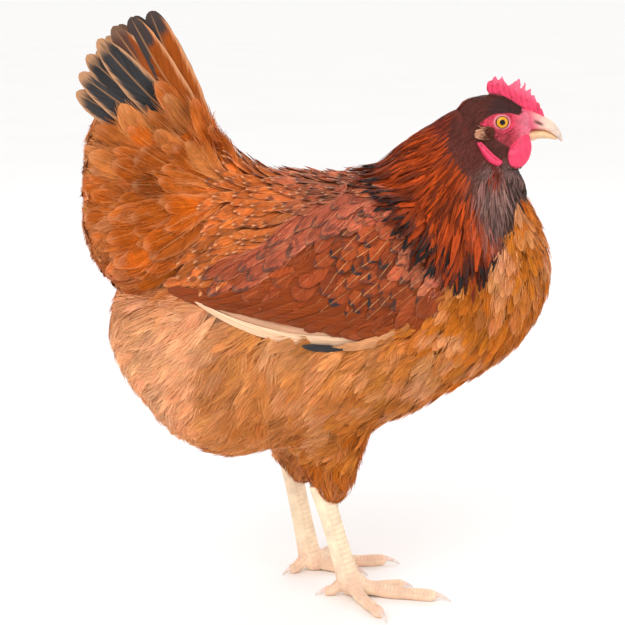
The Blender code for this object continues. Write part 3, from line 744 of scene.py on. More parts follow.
# Feathers of a kind: length, half width, gap between roots, how pointed, how high the tip stands over the skin,
# loose barbs over the vane, how downy they are (0 to 1), colour, dark tip, where it starts, shaft, pale rim, pale
# end, blotches of pale, and how far their direction strays in degrees.
Kind = namedtuple("Kind", "length half gap point high barbs soft colour dark start shaft edge pale blotch stray")
KINDS = {
    "crown": Kind(5.4, 0.36, 1, 0.5, 0.5, 0, 0, "crown", 0.1, 0.8, 0, 0, 0, 0, 9),
    "brow": Kind(4.6, 0.36, 0.95, 0.5, 0.5, 0, 0, "crown", 0.85, 0.35, 0, 0, 0, 0, 10),
    "cheek": Kind(3.6, 0.22, 1.05, 0.8, 0.6, 0, 0, "crown", 0.1, 0.6, 0, 0, 0, 0, 16),
    "throat": Kind(7.5, 0.5, 1.25, 0.7, 0.9, 0, 0, "bib", 0.3, 0.5, 0, 0, 0, 0, 10),
    "nape": Kind(10, 0.62, 1.4, 0.85, 1.1, 0, 0, "nape", 0.15, 0.75, 0.06, 0, 0, 0, 7),
    "ruff": Kind(22, 1.05, 1.9, 0.9, 1.9, 2, 0, "hackle", 0.3, 0.8, 0.06, 0, 0, 0, 7),
    "hackle": Kind(34, 1.9, 3, 0.85, 3.6, 5, 0, "hackle", 0.5, 0.76, 0.1, 0, 0, 0, 7),
    "cape": Kind(42, 3.8, 4.6, 0.75, 6.6, 6, 0, "hackle", 1, 0.74, 0.12, 0, 0, 0, 7),
    "bib": Kind(24, 1.1, 2.1, 0.85, 2.4, 3, 0, "bib", 0.3, 0.75, 0.15, 0.15, 0, 0, 8),
    "breast": Kind(25, 6.4, 6, 0.15, 4.6, 28, 0.85, "breast", 0, 1, 0.03, 0.15, 0, 0.8, 11),
    "keel": Kind(26, 6.4, 5.8, 0.2, 5.2, 26, 0.8, "breast", 0.2, 0.98, 0.03, 0.2, 0, 0.8, 11),
    "belly": Kind(29, 7, 5.8, 0.4, 6, 36, 0.9, "belly", 0, 1, 0, 0.2, 0, 0.9, 13),
    "flank": Kind(34, 7, 5.8, 0.5, 7.5, 42, 1, "flank", 0, 1, 0, 0.2, 0, 0.8, 14),
    "vent": Kind(35, 6.5, 5.6, 0.6, 9, 42, 1, "vent", 0, 1, 0, 0.2, 0, 0.4, 15),
    "thigh": Kind(25, 4.6, 4.6, 0.5, 5, 18, 0.8, "thigh", 0, 1, 0, 0.15, 0, 0.5, 12),
    "back": Kind(22, 5.2, 5.6, 0.6, 4.6, 4, 0.1, "back", 0.6, 0.82, 0.15, 0.45, 1, 0, 10),
    "saddle": Kind(26, 5.4, 6, 0.6, 5, 4, 0.15, "saddle", 0.55, 0.84, 0.15, 0.5, 1.2, 0, 10),
    "cushion": Kind(36, 9, 8, 0.3, 7, 30, 0.5, "cushion", 0, 1, 0.15, 0.3, 0.2, 0.3, 12),
    "rump": Kind(32, 7, 6, 0.5, 8, 40, 0.9, "flank", 0, 1, 0, 0.3, 0, 0.9, 14),
    "lesser": Kind(16, 5, 5.8, 0.35, 3.2, 6, 0.1, "scapular", 0.55, 0.88, 0.4, 0.3, 0.2, 0.2, 9),
    "covert": Kind(21, 6.6, 7.6, 0.3, 3.6, 5, 0.05, "covert", 0.85, 0.87, 0.95, 0, 0.1, 0, 7),
    "greater": Kind(30, 8.5, 9.5, 0.25, 4, 6, 0.05, "covert", 0.4, 0.97, 0.3, 0, 0, 0, 6),
}
# Where each kind grows in the side view and which way it lies: x, z, then the direction in x and z.
GROWS = {
    "head": {
        "brow": ((162, 395, -1, 0.25), (152, 400, -1, 0.1), (158, 389, -1, 0.1), (147, 391, -1, -0.05)),
        "crown": (
            (140, 402, -1, -0.05), (128, 400, -0.93, -0.36), (118, 394, -0.88, -0.48), (134, 389, -0.9, -0.42),
            (122, 382, -0.8, -0.6), (120, 372, -0.6, -0.8), (128, 360, -0.45, -0.9),
        ),
        "cheek": ((141, 366, -0.62, -0.78), (150, 360, -0.6, -0.8), (136, 372, -0.75, -0.66)),
        "throat": ((158, 351, -0.5, -0.86), (164, 345, -0.2, -0.98), (145, 345, -0.35, -0.93)),
    },
    "neck": {
        "nape": (
            (112, 392, -0.86, -0.5), (104, 382, -0.8, -0.6), (120, 372, -0.6, -0.8), (126, 358, -0.42, -0.9),
            (140, 345, -0.25, -0.97),
        ),
        "ruff": ((92, 378, -0.85, -0.53), (98, 362, -0.72, -0.7), (112, 345, -0.48, -0.88)),
        "hackle": (
            (80, 366, -0.88, -0.47), (84, 348, -0.78, -0.62), (100, 330, -0.55, -0.83), (120, 322, -0.25, -0.97),
        ),
        "cape": (
            (66, 350, -0.9, -0.44), (78, 330, -0.82, -0.57), (92, 312, -0.62, -0.78), (108, 300, -0.38, -0.92),
            (124, 300, -0.15, -0.98),
        ),
        "bib": (
            (140, 318, -0.05, -1), (152, 330, 0.02, -1), (162, 338, 0.12, -1), (137, 332, -0.15, -0.98),
            (168, 325, 0.2, -1),
        ),
        "throat": ((156, 345, 0, -1),),
    },
    "body": {
        "breast": (
            (184, 300, 0.1, -1), (190, 250, -0.15, -1), (182, 215, -0.45, -0.88), (150, 262, -0.35, -0.93),
            (155, 225, -0.5, -0.86), (118, 240, -0.55, -0.83), (125, 200, -0.68, -0.73),
        ),
        "keel": ((150, 188, -0.75, -0.66), (112, 160, -0.88, -0.47), (70, 142, -0.93, -0.36)),
        "belly": ((90, 185, -0.78, -0.62), (60, 195, -0.75, -0.66), (30, 150, -0.88, -0.47), (0, 130, -0.85, -0.5)),
        "flank": (
            (30, 205, -0.7, -0.7), (-10, 190, -0.62, -0.78), (-40, 205, -0.6, -0.8), (-50, 160, -0.6, -0.8),
            (-70, 118, -0.66, -0.75), (-125, 140, -0.7, -0.7),
        ),
        "vent": (
            (-90, 220, -0.7, -0.7), (-110, 170, -0.66, -0.75), (-150, 190, -0.82, -0.57), (-160, 230, -0.9, -0.42),
            (-130, 240, -0.85, -0.5),
        ),
        "back": ((40, 346, -1, -0.05), (0, 345, -1, 0), (60, 330, -0.95, -0.3), (20, 335, -0.97, -0.2)),
        "saddle": (
            (-35, 347, -0.97, 0.2), (-30, 325, -0.95, -0.3), (-55, 350, -0.85, 0.5), (-60, 318, -0.92, -0.38),
            (-70, 290, -0.85, -0.52),
        ),
        "cushion": (
            (-90, 350, -0.9, 0.35), (-100, 315, -0.97, -0.2), (-110, 280, -0.88, -0.47), (-135, 375, -0.85, 0.5),
            (-150, 330, -1, 0), (-140, 270, -0.85, -0.52), (-95, 375, -0.6, 0.8),
        ),
        "rump": ((-172, 352, -0.9, 0.3), (-176, 300, -0.9, -0.3), (-168, 262, -0.9, -0.4), (-150, 385, -0.8, 0.5)),
    },
    "thigh": {
        "thigh": (
            (10, 160, -0.45, -0.9), (30, 150, -0.1, -1), (20, 120, -0.05, -1), (-10, 120, -0.05, -1),
            (10, 95, 0, -1), (-40, 150, -0.3, -0.95),
        ),
    },
    "wing": {
        "lesser": ((92, 300, -0.8, -0.6), (100, 275, -0.75, -0.66), (70, 325, -0.85, -0.52), (30, 325, -0.8, -0.6)),
        "covert": (
            (60, 300, -0.76, -0.65), (80, 260, -0.74, -0.67), (30, 300, -0.76, -0.65), (50, 260, -0.75, -0.66),
            (30, 255, -0.78, -0.62),
        ),
        "greater": ((5, 270, -0.8, -0.6), (0, 300, -0.8, -0.6), (-25, 275, -0.85, -0.52), (-60, 270, -0.92, -0.4)),
    },
}


def grown_at(tract, points):
    """The numbers of every feather at these places, with their direction in the side view."""
    rows = [(*row, kind) for kind, rows in GROWS[tract].items() for row in rows]
    x, z = side_view(points)
    places = np.array([r[:2] for r in rows], float)
    near = ((x[:, None] - places[:, 0]) ** 2 + (z[:, None] - places[:, 1]) ** 2 + 9) ** -2.2
    share = near / near.sum(1, keepdims=True)
    kinds = [KINDS[r[4]] for r in rows]
    numbers = {f: share @ np.array([getattr(k, f) for k in kinds], float) for f in Kind._fields if f != "colour"}
    numbers["tint"] = share @ np.array([hen_colour(k.colour) for k in kinds])
    lie = unit(share @ unit(np.array([r[2:4] for r in rows], float)))
    numbers["lie"] = np.stack([lie[:, 0], np.zeros(len(x)), lie[:, 1]], -1)
    return numbers


def unwrapped(points):
    """Each place on a flat map of the hen's own skin, from 0.02 to 0.98: along the body or neck, and round it."""
    x, y, z = points.T
    down, _ = cape(points)
    body = 0.02 + 0.56 * np.clip((x + 195) / 390, 0, 1), np.arctan2(y, z - 235) / TAU + 0.5
    front = (x - CAPE[0]) * 0.89 - (z - CAPE[1]) * 0.45
    neck = 0.62 + 0.34 * np.clip(down, 0, 1.3) / 1.3, np.arctan2(y, front) / TAU + 0.5
    return np.stack([np.where(down < 1, n, b) for n, b in zip(neck, body)], -1) * 0.96 + 0.02


# --- feathers


class Skin:
    """A surface that feathers lie on."""

    def __init__(self, points, quads):
        self.points, self.quads = points, quads
        self.tree = BVHTree.FromPolygons(points.tolist(), quads.tolist())
        self.normals = unit(normals_of(points, quads)[quads].mean(1))
        corners = points[quads]
        self.centres = corners.mean(1)
        self.areas = np.linalg.norm(np.cross(corners[:, 2] - corners[:, 0], corners[:, 3] - corners[:, 1]), axis=1) / 2

    def nearest(self, points):
        found = [self.tree.find_nearest(p) for p in points.tolist()]
        at = np.array([tuple(f[0]) for f in found])
        return at, self.normals[np.array([f[2] for f in found])]

    def beside(self, places, side):
        """The skin's outermost point at these (x, z) on a side, or the nearest if there is none."""
        points = []
        for x, z in places.reshape(-1, 2).tolist():
            hit = self.tree.ray_cast((x, side * 250, z), (0, -side, 0))[0]
            if hit is None:
                hit = (x, self.tree.find_nearest((x, side * 45, z))[0][1], z)
            points.append(tuple(hit))
        points = np.array(points)
        shape = (*places.shape[:-1], 3)
        return points.reshape(shape), self.nearest(points)[1].reshape(shape)

    def sampled(self, count, random, chance):
        """Points spread over the faces, and on each face by its chance."""
        which = random.choice(len(chance), count, p=chance / chance.sum())
        s, t = random.random((2, count, 1))
        a, b, c, d = (self.points[self.quads[which, k]] for k in range(4))
        return (a * (1 - s) + b * s) * (1 - t) + (d * (1 - s) + c * s) * t


def scattered(points, gaps, random):
    """Which of these points keep their gap from one another, taken in random order."""
    kept = []
    for least, most in ((0, 2), (2, 3), (3, 4.5), (4.5, 6.5), (6.5, 30)):
        chosen = np.flatnonzero((gaps >= least) & (gaps < most))
        if not len(chosen):
            continue
        cell = float(gaps[chosen].max())
        grid = {}
        for i in chosen[random.permutation(len(chosen))].tolist():
            x, y, z = points[i].tolist()
            kx, ky, kz = int(x // cell), int(y // cell), int(z // cell)
            gap = float(gaps[i]) ** 2
            free = all(
                (x - q[0]) ** 2 + (y - q[1]) ** 2 + (z - q[2]) ** 2 >= gap
                for ax in (kx - 1, kx, kx + 1)
                for ay in (ky - 1, ky, ky + 1)
                for az in (kz - 1, kz, kz + 1)
                for q in grid.get((ax, ay, az), ())
            )
            if free:
                grid.setdefault((kx, ky, kz), []).append((x, y, z))
                kept.append(i)
    return np.array(kept, int)


def vane_rows(count):
    """Shares of a feather's length, closer together towards its tip."""
    return 1 - (1 - np.linspace(0, 1, count)) ** 1.5


def outline(rows, point):
    """Half width over the widest, from root to tip. point 0 is round, 1 a long point. Both may be arrays."""
    rows, point = rows[None, :], np.asarray(point, float).reshape(-1, 1)
    quill = np.minimum(1, 0.4 + 1.5 * rows)
    round_end = np.sqrt(np.clip(1 - (np.clip(rows - 0.6, 0, 1) / 0.4) ** 2, 0, 1))
    long_end = np.clip((1 - rows) / 0.78, 0, 1) ** 0.85
    return quill * (round_end * (1 - point) + long_end * point) + 0.015


CLING = 0.9  # how closely a feather follows the skin under it


def laid(skin, roots, lie, length, rows, low, high):
    """Paths of feathers from their roots over the skin, and which way is out at each point of them."""
    at, out = skin.nearest(roots)
    ahead = unit(lie - out * dot(lie, out))
    path, outs = [at], [out]
    for step in np.diff(rows):
        free = at + ahead * (length * step)[:, None]
        near, out = skin.nearest(free)
        new = near * CLING + free * (1 - CLING)
        ahead = unit(0.75 * unit(new - at) + 0.25 * ahead)
        out = unit(out - ahead * dot(out, ahead))
        at = new
        path.append(at)
        outs.append(out)
    path, outs = np.stack(path, 1), np.stack(outs, 1)
    low = np.broadcast_to(low, len(roots))[:, None]
    height = low + (np.asarray(high)[..., None] - low) * rows[None] ** 0.85
    return path + outs * height[..., None], outs


def each(count, *values):
    """A row for each feather, of values that are one for all or one for each."""
    return np.stack([np.broadcast_to(np.asarray(v, float), count) for v in values], -1)


def with_end(tint, pale):
    """Ground colours with how pale each feather's end is beside them."""
    return np.concatenate([tint, np.full((len(tint), 1), float(pale))], 1)


class Coat:
    """Vanes gathered for one piece."""

    def __init__(self, seed):
        self.random = np.random.default_rng(seed)
        self.batches = []
        self.count = 0

    def vanes(
        self, path, out, half, rows, roots, tint, mark, trim, columns=5, roll=8, arch=0, fray=0.05, seed=None, at=None
    ):
        """Adds a sheet along each path, with its tint, its marks and its place on the map.

        roll is how many degrees they tilt, arch how much they bend down across, and at where their barbs grow.
        """
        count, steps = path.shape[:2]
        random = self.random
        ahead = unit(np.gradient(path, axis=1))
        beside = unit(np.cross(ahead, out))
        up = np.cross(beside, ahead)
        lean = np.radians(random.normal(0, roll, (count, 1, 1)))
        across = beside * np.cos(lean) + up * np.sin(lean)
        u = np.linspace(-1, 1, columns)
        shape = (count, steps, columns)
        w = half[:, :, None] * u * (1 + fray * random.normal(0, 1, shape) * np.abs(u))
        points = path[:, :, None] + across[:, :, None] * w[..., None] - up[:, :, None] * (w * w * arch)[..., None]
        index = np.arange(count * steps * columns).reshape(shape) + self.count
        quads = np.stack([index[:, :-1, :-1], index[:, :-1, 1:], index[:, 1:, 1:], index[:, 1:, :-1]], -1)
        self.count += index.size
        seed = random.random(count) if seed is None else seed
        over = np.broadcast_to(u if at is None else at[:, None, None], shape)
        rows = np.broadcast_to(np.asarray(rows)[..., None], shape)
        lie = np.stack([over, rows, np.broadcast_to(seed[:, None, None], shape)], -1)
        patch = np.stack([np.broadcast_to(u, shape) / 2, rows.clip(0, 1) - 0.5], -1)
        spot = unwrapped(roots)[:, None, None] + MAP_PATCH * patch
        loose = [np.broadcast_to(v[:, None, None], (*shape, v.shape[-1])) for v in (tint, mark, trim)]
        flat = [np.ascontiguousarray(a, np.float32).reshape(-1, a.shape[-1]) for a in (points, lie, *loose, spot)]
        self.batches.append([quads.reshape(-1, 4), *flat])

    def feathers(self, path, out, half, rows, roots, tint, mark, trim, barbs=0, soft=0, columns=5, **more):
        """Adds vanes, and over each its loose barbs, which leave the shaft and end about the vane's edge.

        barbs and soft may differ from feather to feather. Soft ones start nearer the root, spread wider and stray.
        """
        count, steps = path.shape[:2]
        random = self.random
        seed = random.random(count)
        barbs, soft = np.broadcast_to(barbs, count), np.broadcast_to(soft, count)
        narrow = half * (1 - 0.5 * soft)[:, None]
        self.vanes(path, out, narrow, rows, roots, tint, mark, trim, columns=columns, seed=seed, **more)
        quill = np.flatnonzero(mark[:, 2] > 0.3)
        if len(quill):  # the shaft stands over the barbs
            wide = (half[quill].max(1)[:, None] * 0.02 + 0.14) * (1 - 0.8 * rows[None])
            raised = path[quill] + out[quill] * (0.3 + 0.5 * rows[None, :, None])
            looks = (a[quill] for a in (roots, tint, mark, trim))
            more = dict(columns=2, roll=0, fray=0, at=np.zeros(len(quill)))
            self.vanes(raised, out[quill], wide, rows * 0.97, *looks, **more)
        which = np.repeat(np.arange(count), np.round(barbs).astype(int))
        if not len(which):
            return
        total, soft = len(which), soft[which][:, None]
        share = np.linspace(0, 1, 5)[None]
        u = random.uniform(-1, 1, (total, 1))
        begin = 0.5 * (1 - soft) * random.uniform(0.2, 1.3, (total, 1)) + 0.08
        end = 1 - 0.2 * u**2 + random.normal(0, 0.03, (total, 1)) + soft * random.uniform(-0.35, 0.14, (total, 1))
        v = begin + (end - begin).clip(0.15) * share
        place = np.interp(v.clip(0, 1), rows, np.arange(steps)).clip(0, steps - 1.001)
        low = place.astype(int)
        mix = (place - low)[..., None]

        def pick(of):
            return blend(of[which[:, None], low], of[which[:, None], low + 1], mix)

        along = np.linalg.norm(np.diff(path, axis=1), axis=2).sum(1)[which][:, None]
        ahead = unit(np.gradient(path, axis=1))
        beside = unit(np.cross(ahead, out))
        widest = half.max(1)[which][:, None]
        wide = blend(pick(half[..., None])[..., 0], widest, 0.6 * soft)
        aside = wide * u * 1.06 * share ** (0.6 + 0.3 * soft) + random.normal(0, 2, (total, 1)) * soft * share**2
        aside = aside + widest * u * 0.3 * soft
        lift = 0.12 + (0.2 + 1.2 * soft) * random.random((total, 1)) * share - (wide * u * share) ** 2 / 90
        past = (v - 1).clip(0) * along.clip(0, 40)
        points = pick(path) + pick(ahead) * past[..., None] + pick(beside) * aside[..., None]
        points = points + pick(out) * lift[..., None]
        wide = random.uniform(0.22, 0.46, (total, 1)) * (1 + 0.3 * soft) * (1 - 0.85 * share**1.6)
        shade = tint[which] * (1.03 + (0.13 - 0.09 * soft) * random.normal(0, 1, (total, 1))).clip(0.65, 1.5)
        shade[:, 3:] = tint[which, 3:]
        at = np.sign(u[:, 0]) * np.abs(u[:, 0]).clip(0.25)
        looks = roots[which], shade, mark[which], trim[which]
        self.vanes(points, pick(out), wide, v, *looks, columns=2, roll=28, fray=0, seed=seed[which], at=at)

    def drape(self, curves, side, low, rise, half, point, tint, mark, trim, rows=22, columns=7, over=None, **more):
        """Adds feathers over the hen's side, along curves there. low and rise set how high root and tip stand."""
        v = vane_rows(rows)
        low, half, point = (np.broadcast_to(np.asarray(n, float), len(curves)) for n in (low, half, point))
        path, out = hung(curves, side, low, low + rise, v, over)
        half = half[:, None] * outline(v, point)
        roots = np.insert(curves[:, 0], 1, side * 60, axis=1)  # near enough for the map
        add = self.feathers if "barbs" in more else self.vanes
        add(path, out, half, v, roots, tint, mark, trim, columns=columns, **more)

    def piece(self, name, material, *nodes):
        quads, points, lie, tint, mark, trim, spot = (np.concatenate(part) for part in zip(*self.batches))
        made = mesh_object(name, points, quads, vane(material))
        for key, values in (("lie", lie), ("mark", mark), ("trim", trim)):
            note(made.data, key, values)
        paint(made.data, tint)
        uv = made.data.uv_layers.new(name="OFBake")
        uv.uv.foreach_set("vector", np.ascontiguousarray(spot[quads.ravel()], np.float32).ravel())
        return in_model(made, "feather", *nodes)


BUILT = {}  # the surfaces that the skin's operator leaves for the feathers


def plant(coat, tract, keep, rows=8, columns=5, fit=None, low=0.4):
    """Scatters a tract's feathers over the part of the skin that keep chooses, and lays them."""
    skin, random = BUILT["skin"], coat.random
    chosen = keep(skin.centres)
    chosen[BUILT["first_head"] if tract in ("body", "wing", "thigh") else len(chosen) :] = False
    chosen = np.flatnonzero(chosen)
    gap = grown_at(tract, turned(skin.centres[chosen], back=True))["gap"]
    chance = np.zeros(len(skin.quads))
    chance[chosen] = skin.areas[chosen] / gap**2
    points = skin.sampled(int(8 * chance.sum()), random, chance)
    flat = turned(points, back=True)
    n = grown_at(tract, flat)
    kept = scattered(points, n["gap"], random)
    points, flat, n = points[kept], flat[kept], {key: value[kept] for key, value in n.items()}
    if fit:
        good = fit(flat, n)
        points, flat, n = points[good], flat[good], {key: value[good] for key, value in n.items()}
    count = len(points)

    def vary(amount, width=None):
        return amount * random.normal(0, 1, (count, width) if width else count)

    stray = np.radians(vary(n["stray"]))[:, None]
    _, up = skin.nearest(points)
    tangent = unit(n["lie"] - up * dot(n["lie"], up))
    lie = tangent * np.cos(stray) + np.cross(up, tangent) * np.sin(stray)
    length = n["length"] * (1 + vary(0.1)).clip(0.7, 1.3)
    high = n["high"] * (1 + vary(0.14)).clip(0.6, 1.4)
    plain = n["blotch"] < 0.1
    light = 1 + vary(0.12 + 0.2 * n["point"] * plain) + 0.1 * mottle(flat, 26, 1)
    patch = (0.8 * mottle(flat, 30, 4) + 0.8 * mottle(flat, 14, 2) + vary(0.25)) * n["blotch"]
    # On the neck, feathers are made much darker or brighter at random: partly their own tones, and partly painted
    # gloss highlights and painted shade between the hackle's feathers.
    if tract == "neck":  # bright streaks among dark ones
        light *= random.choice((0.5, 1.02, 1.4), count, p=(0.28, 0.5, 0.22))
    if tract == "wing":
        light += vary(0.2)
    tint = n["tint"] * light.clip(0.4, 1.6)[:, None]
    tint = blend(tint, hen_colour("vent"), 0.65 * patch.clip(0, 1)[:, None])
    tint = blend(tint, hen_colour("thigh"), 0.6 * (-patch).clip(0, 1)[:, None])
    tint = tint * (1 + vary(0.03, 3) * (0.4, 1, 1.2))
    tint = np.concatenate([tint, n["pale"][:, None] * random.uniform(0.5, 1.1, (count, 1))], 1)
    dark = (n["dark"] * (0.4 + 0.95 * random.random(count))).clip(0, 1)
    start = n["start"] + vary(0.04)
    mark = each(count, dark, start, n["shaft"] * (0.3 + 0.9 * random.random(count)))
    v = vane_rows(rows)
    path, out = laid(skin, points, lie, length, v, low, high)
    half = n["half"][:, None] * outline(v, n["point"]) * (1 + vary(0.07, 1))
    looks = tint, mark, each(count, n["edge"], 0, 0)
    more = dict(barbs=n["barbs"], soft=n["soft"], columns=columns, fray=0.06, arch=1 / 80)
    coat.feathers(path, out, half, v, flat, *looks, **more)


def hung(curves, side, low, high, rows, over=None):
    """Paths draped over the hen's side. curves is (N, 4, 2): four points in the side view that draw each path."""
    t = rows[None, :, None]
    a, b, c, d = (curves[:, k, None] for k in range(4))
    flat = a * (1 - t) ** 3 + 3 * b * t * (1 - t) ** 2 + 3 * c * t * t * (1 - t) + d * t**3
    at, out = BUILT["skin"].beside(flat, side)
    if over is not None:
        least = over(flat)
        lift = ramp(least - np.abs(at[..., 1]), -4, 4)[..., None]
        at[..., 1] = side * np.maximum(np.abs(at[..., 1]), least)
        out = unit(blend(out, np.array([0.05, side, 0.25]), lift))
    for _ in range(3):  # the skin's small dents don't reach a stiff feather
        at[:, 1:-1, 1] = (at[:, :-2, 1] + 2 * at[:, 1:-1, 1] + at[:, 2:, 1]) / 4
        out[:, 1:-1] = unit(out[:, :-2] + 2 * out[:, 1:-1] + out[:, 2:])
    height = blend(low[:, None], high[:, None], rows[None])
    return at + out * height[..., None], out


# --- the skin


def toe_line(name, k):
    """Where a toe starts on the floor, which way it points, how long it is, and the toe itself."""
    leg, side, toe = LEGS[name], SIDES[name], TOES[k]
    turn = side * (leg.out + (toe.angle if k else leg.hind))
    start = np.array([leg.ball[0], side * leg.ball[1], 0])
    return start, np.array([math.cos(turn), math.sin(turn), 0]), toe.length * (leg.reach if k else 1), toe


def leg_paths(name):
    """The paths and radii of a leg's shank and toes."""
    leg, side = LEGS[name], SIDES[name]
    ball = np.array([leg.ball[0], side * leg.ball[1], 10.5])
    hock = np.array([leg.hock[0], side * leg.hock[1], leg.hock[2]])
    t = np.linspace(-0.06, 1, 40)
    wide = SHANK_RADIUS * (0.96 + 0.16 * (1 - t) ** 4 + 0.2 * np.clip(t, 0, 1) ** 4)
    paths = [(hock + (ball - hock) * t[:, None], wide, 8.6 / SHANK_RADIUS)]
    for k in range(len(TOES)):
        start, ahead, length, toe = toe_line(name, k)
        t = np.linspace(0, 1, 36)
        pads = 0.5 - 0.5 * np.cos(TAU * toe.joints * t)
        radius = toe.radius * (1 + 0.3 * (1 - t) ** 3 - 0.06 * t + 0.09 * pads)
        radius *= np.sqrt(np.clip(1 - ((t - 0.93) / 0.09).clip(0, 1) ** 2, 0.05, 1))
        rise = 7 * (1 - t) ** 4 if k else 13 * np.maximum(1 - t / 0.72, 0) ** 1.2
        path = start + ahead * (length * t)[:, None]
        path[:, 2] = toe.radius * 0.9 * (1 + 0.2 * (1 - t) ** 3) + rise
        paths.append((path, radius, 1))
    return paths, ball


def leg_skin(name, voxel):
    """One leg's scaly skin, with its relief of scutes, its colours and how deep each point lies in a groove."""
    paths, ball = leg_paths(name)
    bodies = [closed(tube(path, radius, 20, flat)) for path, radius, flat in paths]
    angle = np.linspace(-math.pi / 2, math.pi / 2, 12)[1:-1]
    centres = ball + (3.5, 0, -1.4) + np.stack([0 * angle, 0 * angle, 10 * np.sin(angle)], -1)
    ring = around(20)
    oval = np.stack([11.5 * np.cos(ring), 10 * np.sin(ring), 0 * ring], -1)
    bodies.append(closed(centres[:, None] + oval[None] * np.cos(angle)[:, None, None]))
    points, quads = remeshed(bodies, voxel)
    points = eased(points, quads, 5)
    out = normals_of(points, quads)
    best = np.full(len(points), 1e9)
    relief, groove = np.zeros(len(points)), np.zeros(len(points))
    for k, (path, radius, flat) in enumerate(paths):
        step = np.linalg.norm(np.diff(path, axis=0), axis=1).mean()
        gap = np.linalg.norm(points[:, None] - path[None], axis=2)
        at = gap.argmin(1)
        near = gap[np.arange(len(points)), at] / radius[at]
        ahead = unit(np.gradient(path, axis=0))[at]
        off = points - path[at]
        along = at * step + (off * ahead).sum(1)
        beside, over = square_to(ahead)
        turn = np.arctan2((off * beside).sum(1), (off * over).sum(1))
        away = np.abs(turn)
        if k == 0:  # two rows of plates down the front, a finer net behind
            tooth = (along / SHANK_PLATE + np.where(turn > 0, 0, 0.5)) % 1
            front = ramp(away, 1.9, 1.3)
            seam = bump(np.minimum(away, np.abs(away - 1.45)), 0.09)
        else:  # one row of plates along the top of each toe
            tooth = (along / TOE_PLATE) % 1
            front = ramp(away, 1.55, 1.1)
            seam = bump(away - 1.15, 0.12)
        edge = bump(np.minimum(tooth, 1 - tooth), 0.11)
        seam *= front > 0.05
        mine = near < best
        best = np.where(mine, near, best)
        relief = np.where(mine, front * (0.3 * tooth - 0.3 * edge) - 0.22 * seam, relief)
        groove = np.where(mine, np.clip(0.5 * front * edge + 0.3 * seam, 0, 1), groove)
    points = points + out * (relief - 0.1)[:, None]
    points[:, 2] = np.maximum(points[:, 2], 0)
    colour = hen_colour("leg") * (1 + 0.07 * mottle(points, 12, 2))[:, None]
    pink = (ramp(points[:, 2], 34, 10) * (0.4 + 0.25 * mottle(points, 9, 5))).clip(0, 1)
    colour = blend(colour, linear("#EFB79C"), pink[:, None])
    return points, quads, colour, each(len(points), groove, 0, 0)


def coat_depth(points, wing):
    """How deep the plumage is over the skin, in millimetres."""
    sizes = bpy.context.scene.hen_sizes
    x, z = side_view(points)
    down, _ = cape(points)
    tail = ramp(x, -60, -95) * ramp(z, 235, 265)
    depth = blend(sizes.body_depth, sizes.cushion_depth, tail) / MM
    depth = np.where(wing, sizes.wing_depth / MM, depth)
    depth = np.minimum(depth, 2.2 + 5.5 * np.clip(down - 0.3, 0, 1))
    return np.minimum(depth, 1.8 + 0.11 * np.clip(z - 78, 0, 60))


def body_skin():
    nodes = ["trunk", "neck", "tail_coverts", *(f"{part}_{side}" for part in ("wing", "thigh") for side in SIDES)]
    points, quads = remeshed(cad(*nodes), bpy.context.scene.hen_sizes.body_voxel / MM)
    points = eased(points, quads, 14)
    depth = coat_depth(turned(points, back=True), on_wing(points))
    points = points - normals_of(points, quads) * depth[:, None]
    return eased(points, quads, 6), quads


def comb_blade():
    """The comb as a closed blade, its edge a little wavy."""
    shares = np.linspace(0, 1, 150)
    edge, foot = 0.5 * (through(COMB_EDGE, shares) + straight(COMB_EDGE, shares)), through(COMB_FOOT, shares)
    thin, thick = 2.4 + 1.4 * ramp(shares, 0.45, 0.2), 6.4 * np.sin(math.pi * (0.1 + 0.8 * shares)) ** 0.5
    points, faces = slab(edge, foot, thin[:, None], thick, rows=12)
    height = np.clip((points[:, 2] - comb_foot(points[:, 0])) / 16, 0, 1)
    points[:, 1] += 1.3 * height * np.sin(points[:, 0] / 5.2) + 0.8 * height
    return turned(points), faces


def comb_foot(x):
    return np.interp(x, *np.array(COMB_FOOT).T)


def lid_height(out):
    """How far along the eye's axis the lid stands at this distance from it."""
    ball = np.sqrt(np.clip(EYE_RADIUS**2 - out**2, 0, None))
    return np.where(out < LID, ball - 1.6, ball + 0.85 * bump(out - 5.75, 0.75) - 0.1)


def under_neck(points):
    """1 where the head's skin has dived under the neck's, 0 where it is the outer one."""
    x, z = side_view(points)
    return np.maximum(ramp((x - 104) * 0.81 + (z - 390) * 0.587, 6.5, 0), ramp(z, 338, 318) * ramp(x, 135, 150))


def share_of(points, bodies, others):
    """1 where points lie on these bodies, 0 where they lie on the others."""
    corners = np.concatenate([b[0] for b in bodies])
    near = np.flatnonzero(((points > corners.min(0) - 1) & (points < corners.max(0) + 1)).all(1))
    share = np.zeros(len(points))
    share[near] = ramp(distance(tree_of(others), points[near]) - distance(tree_of(bodies), points[near]), 0, 0.9)
    return share


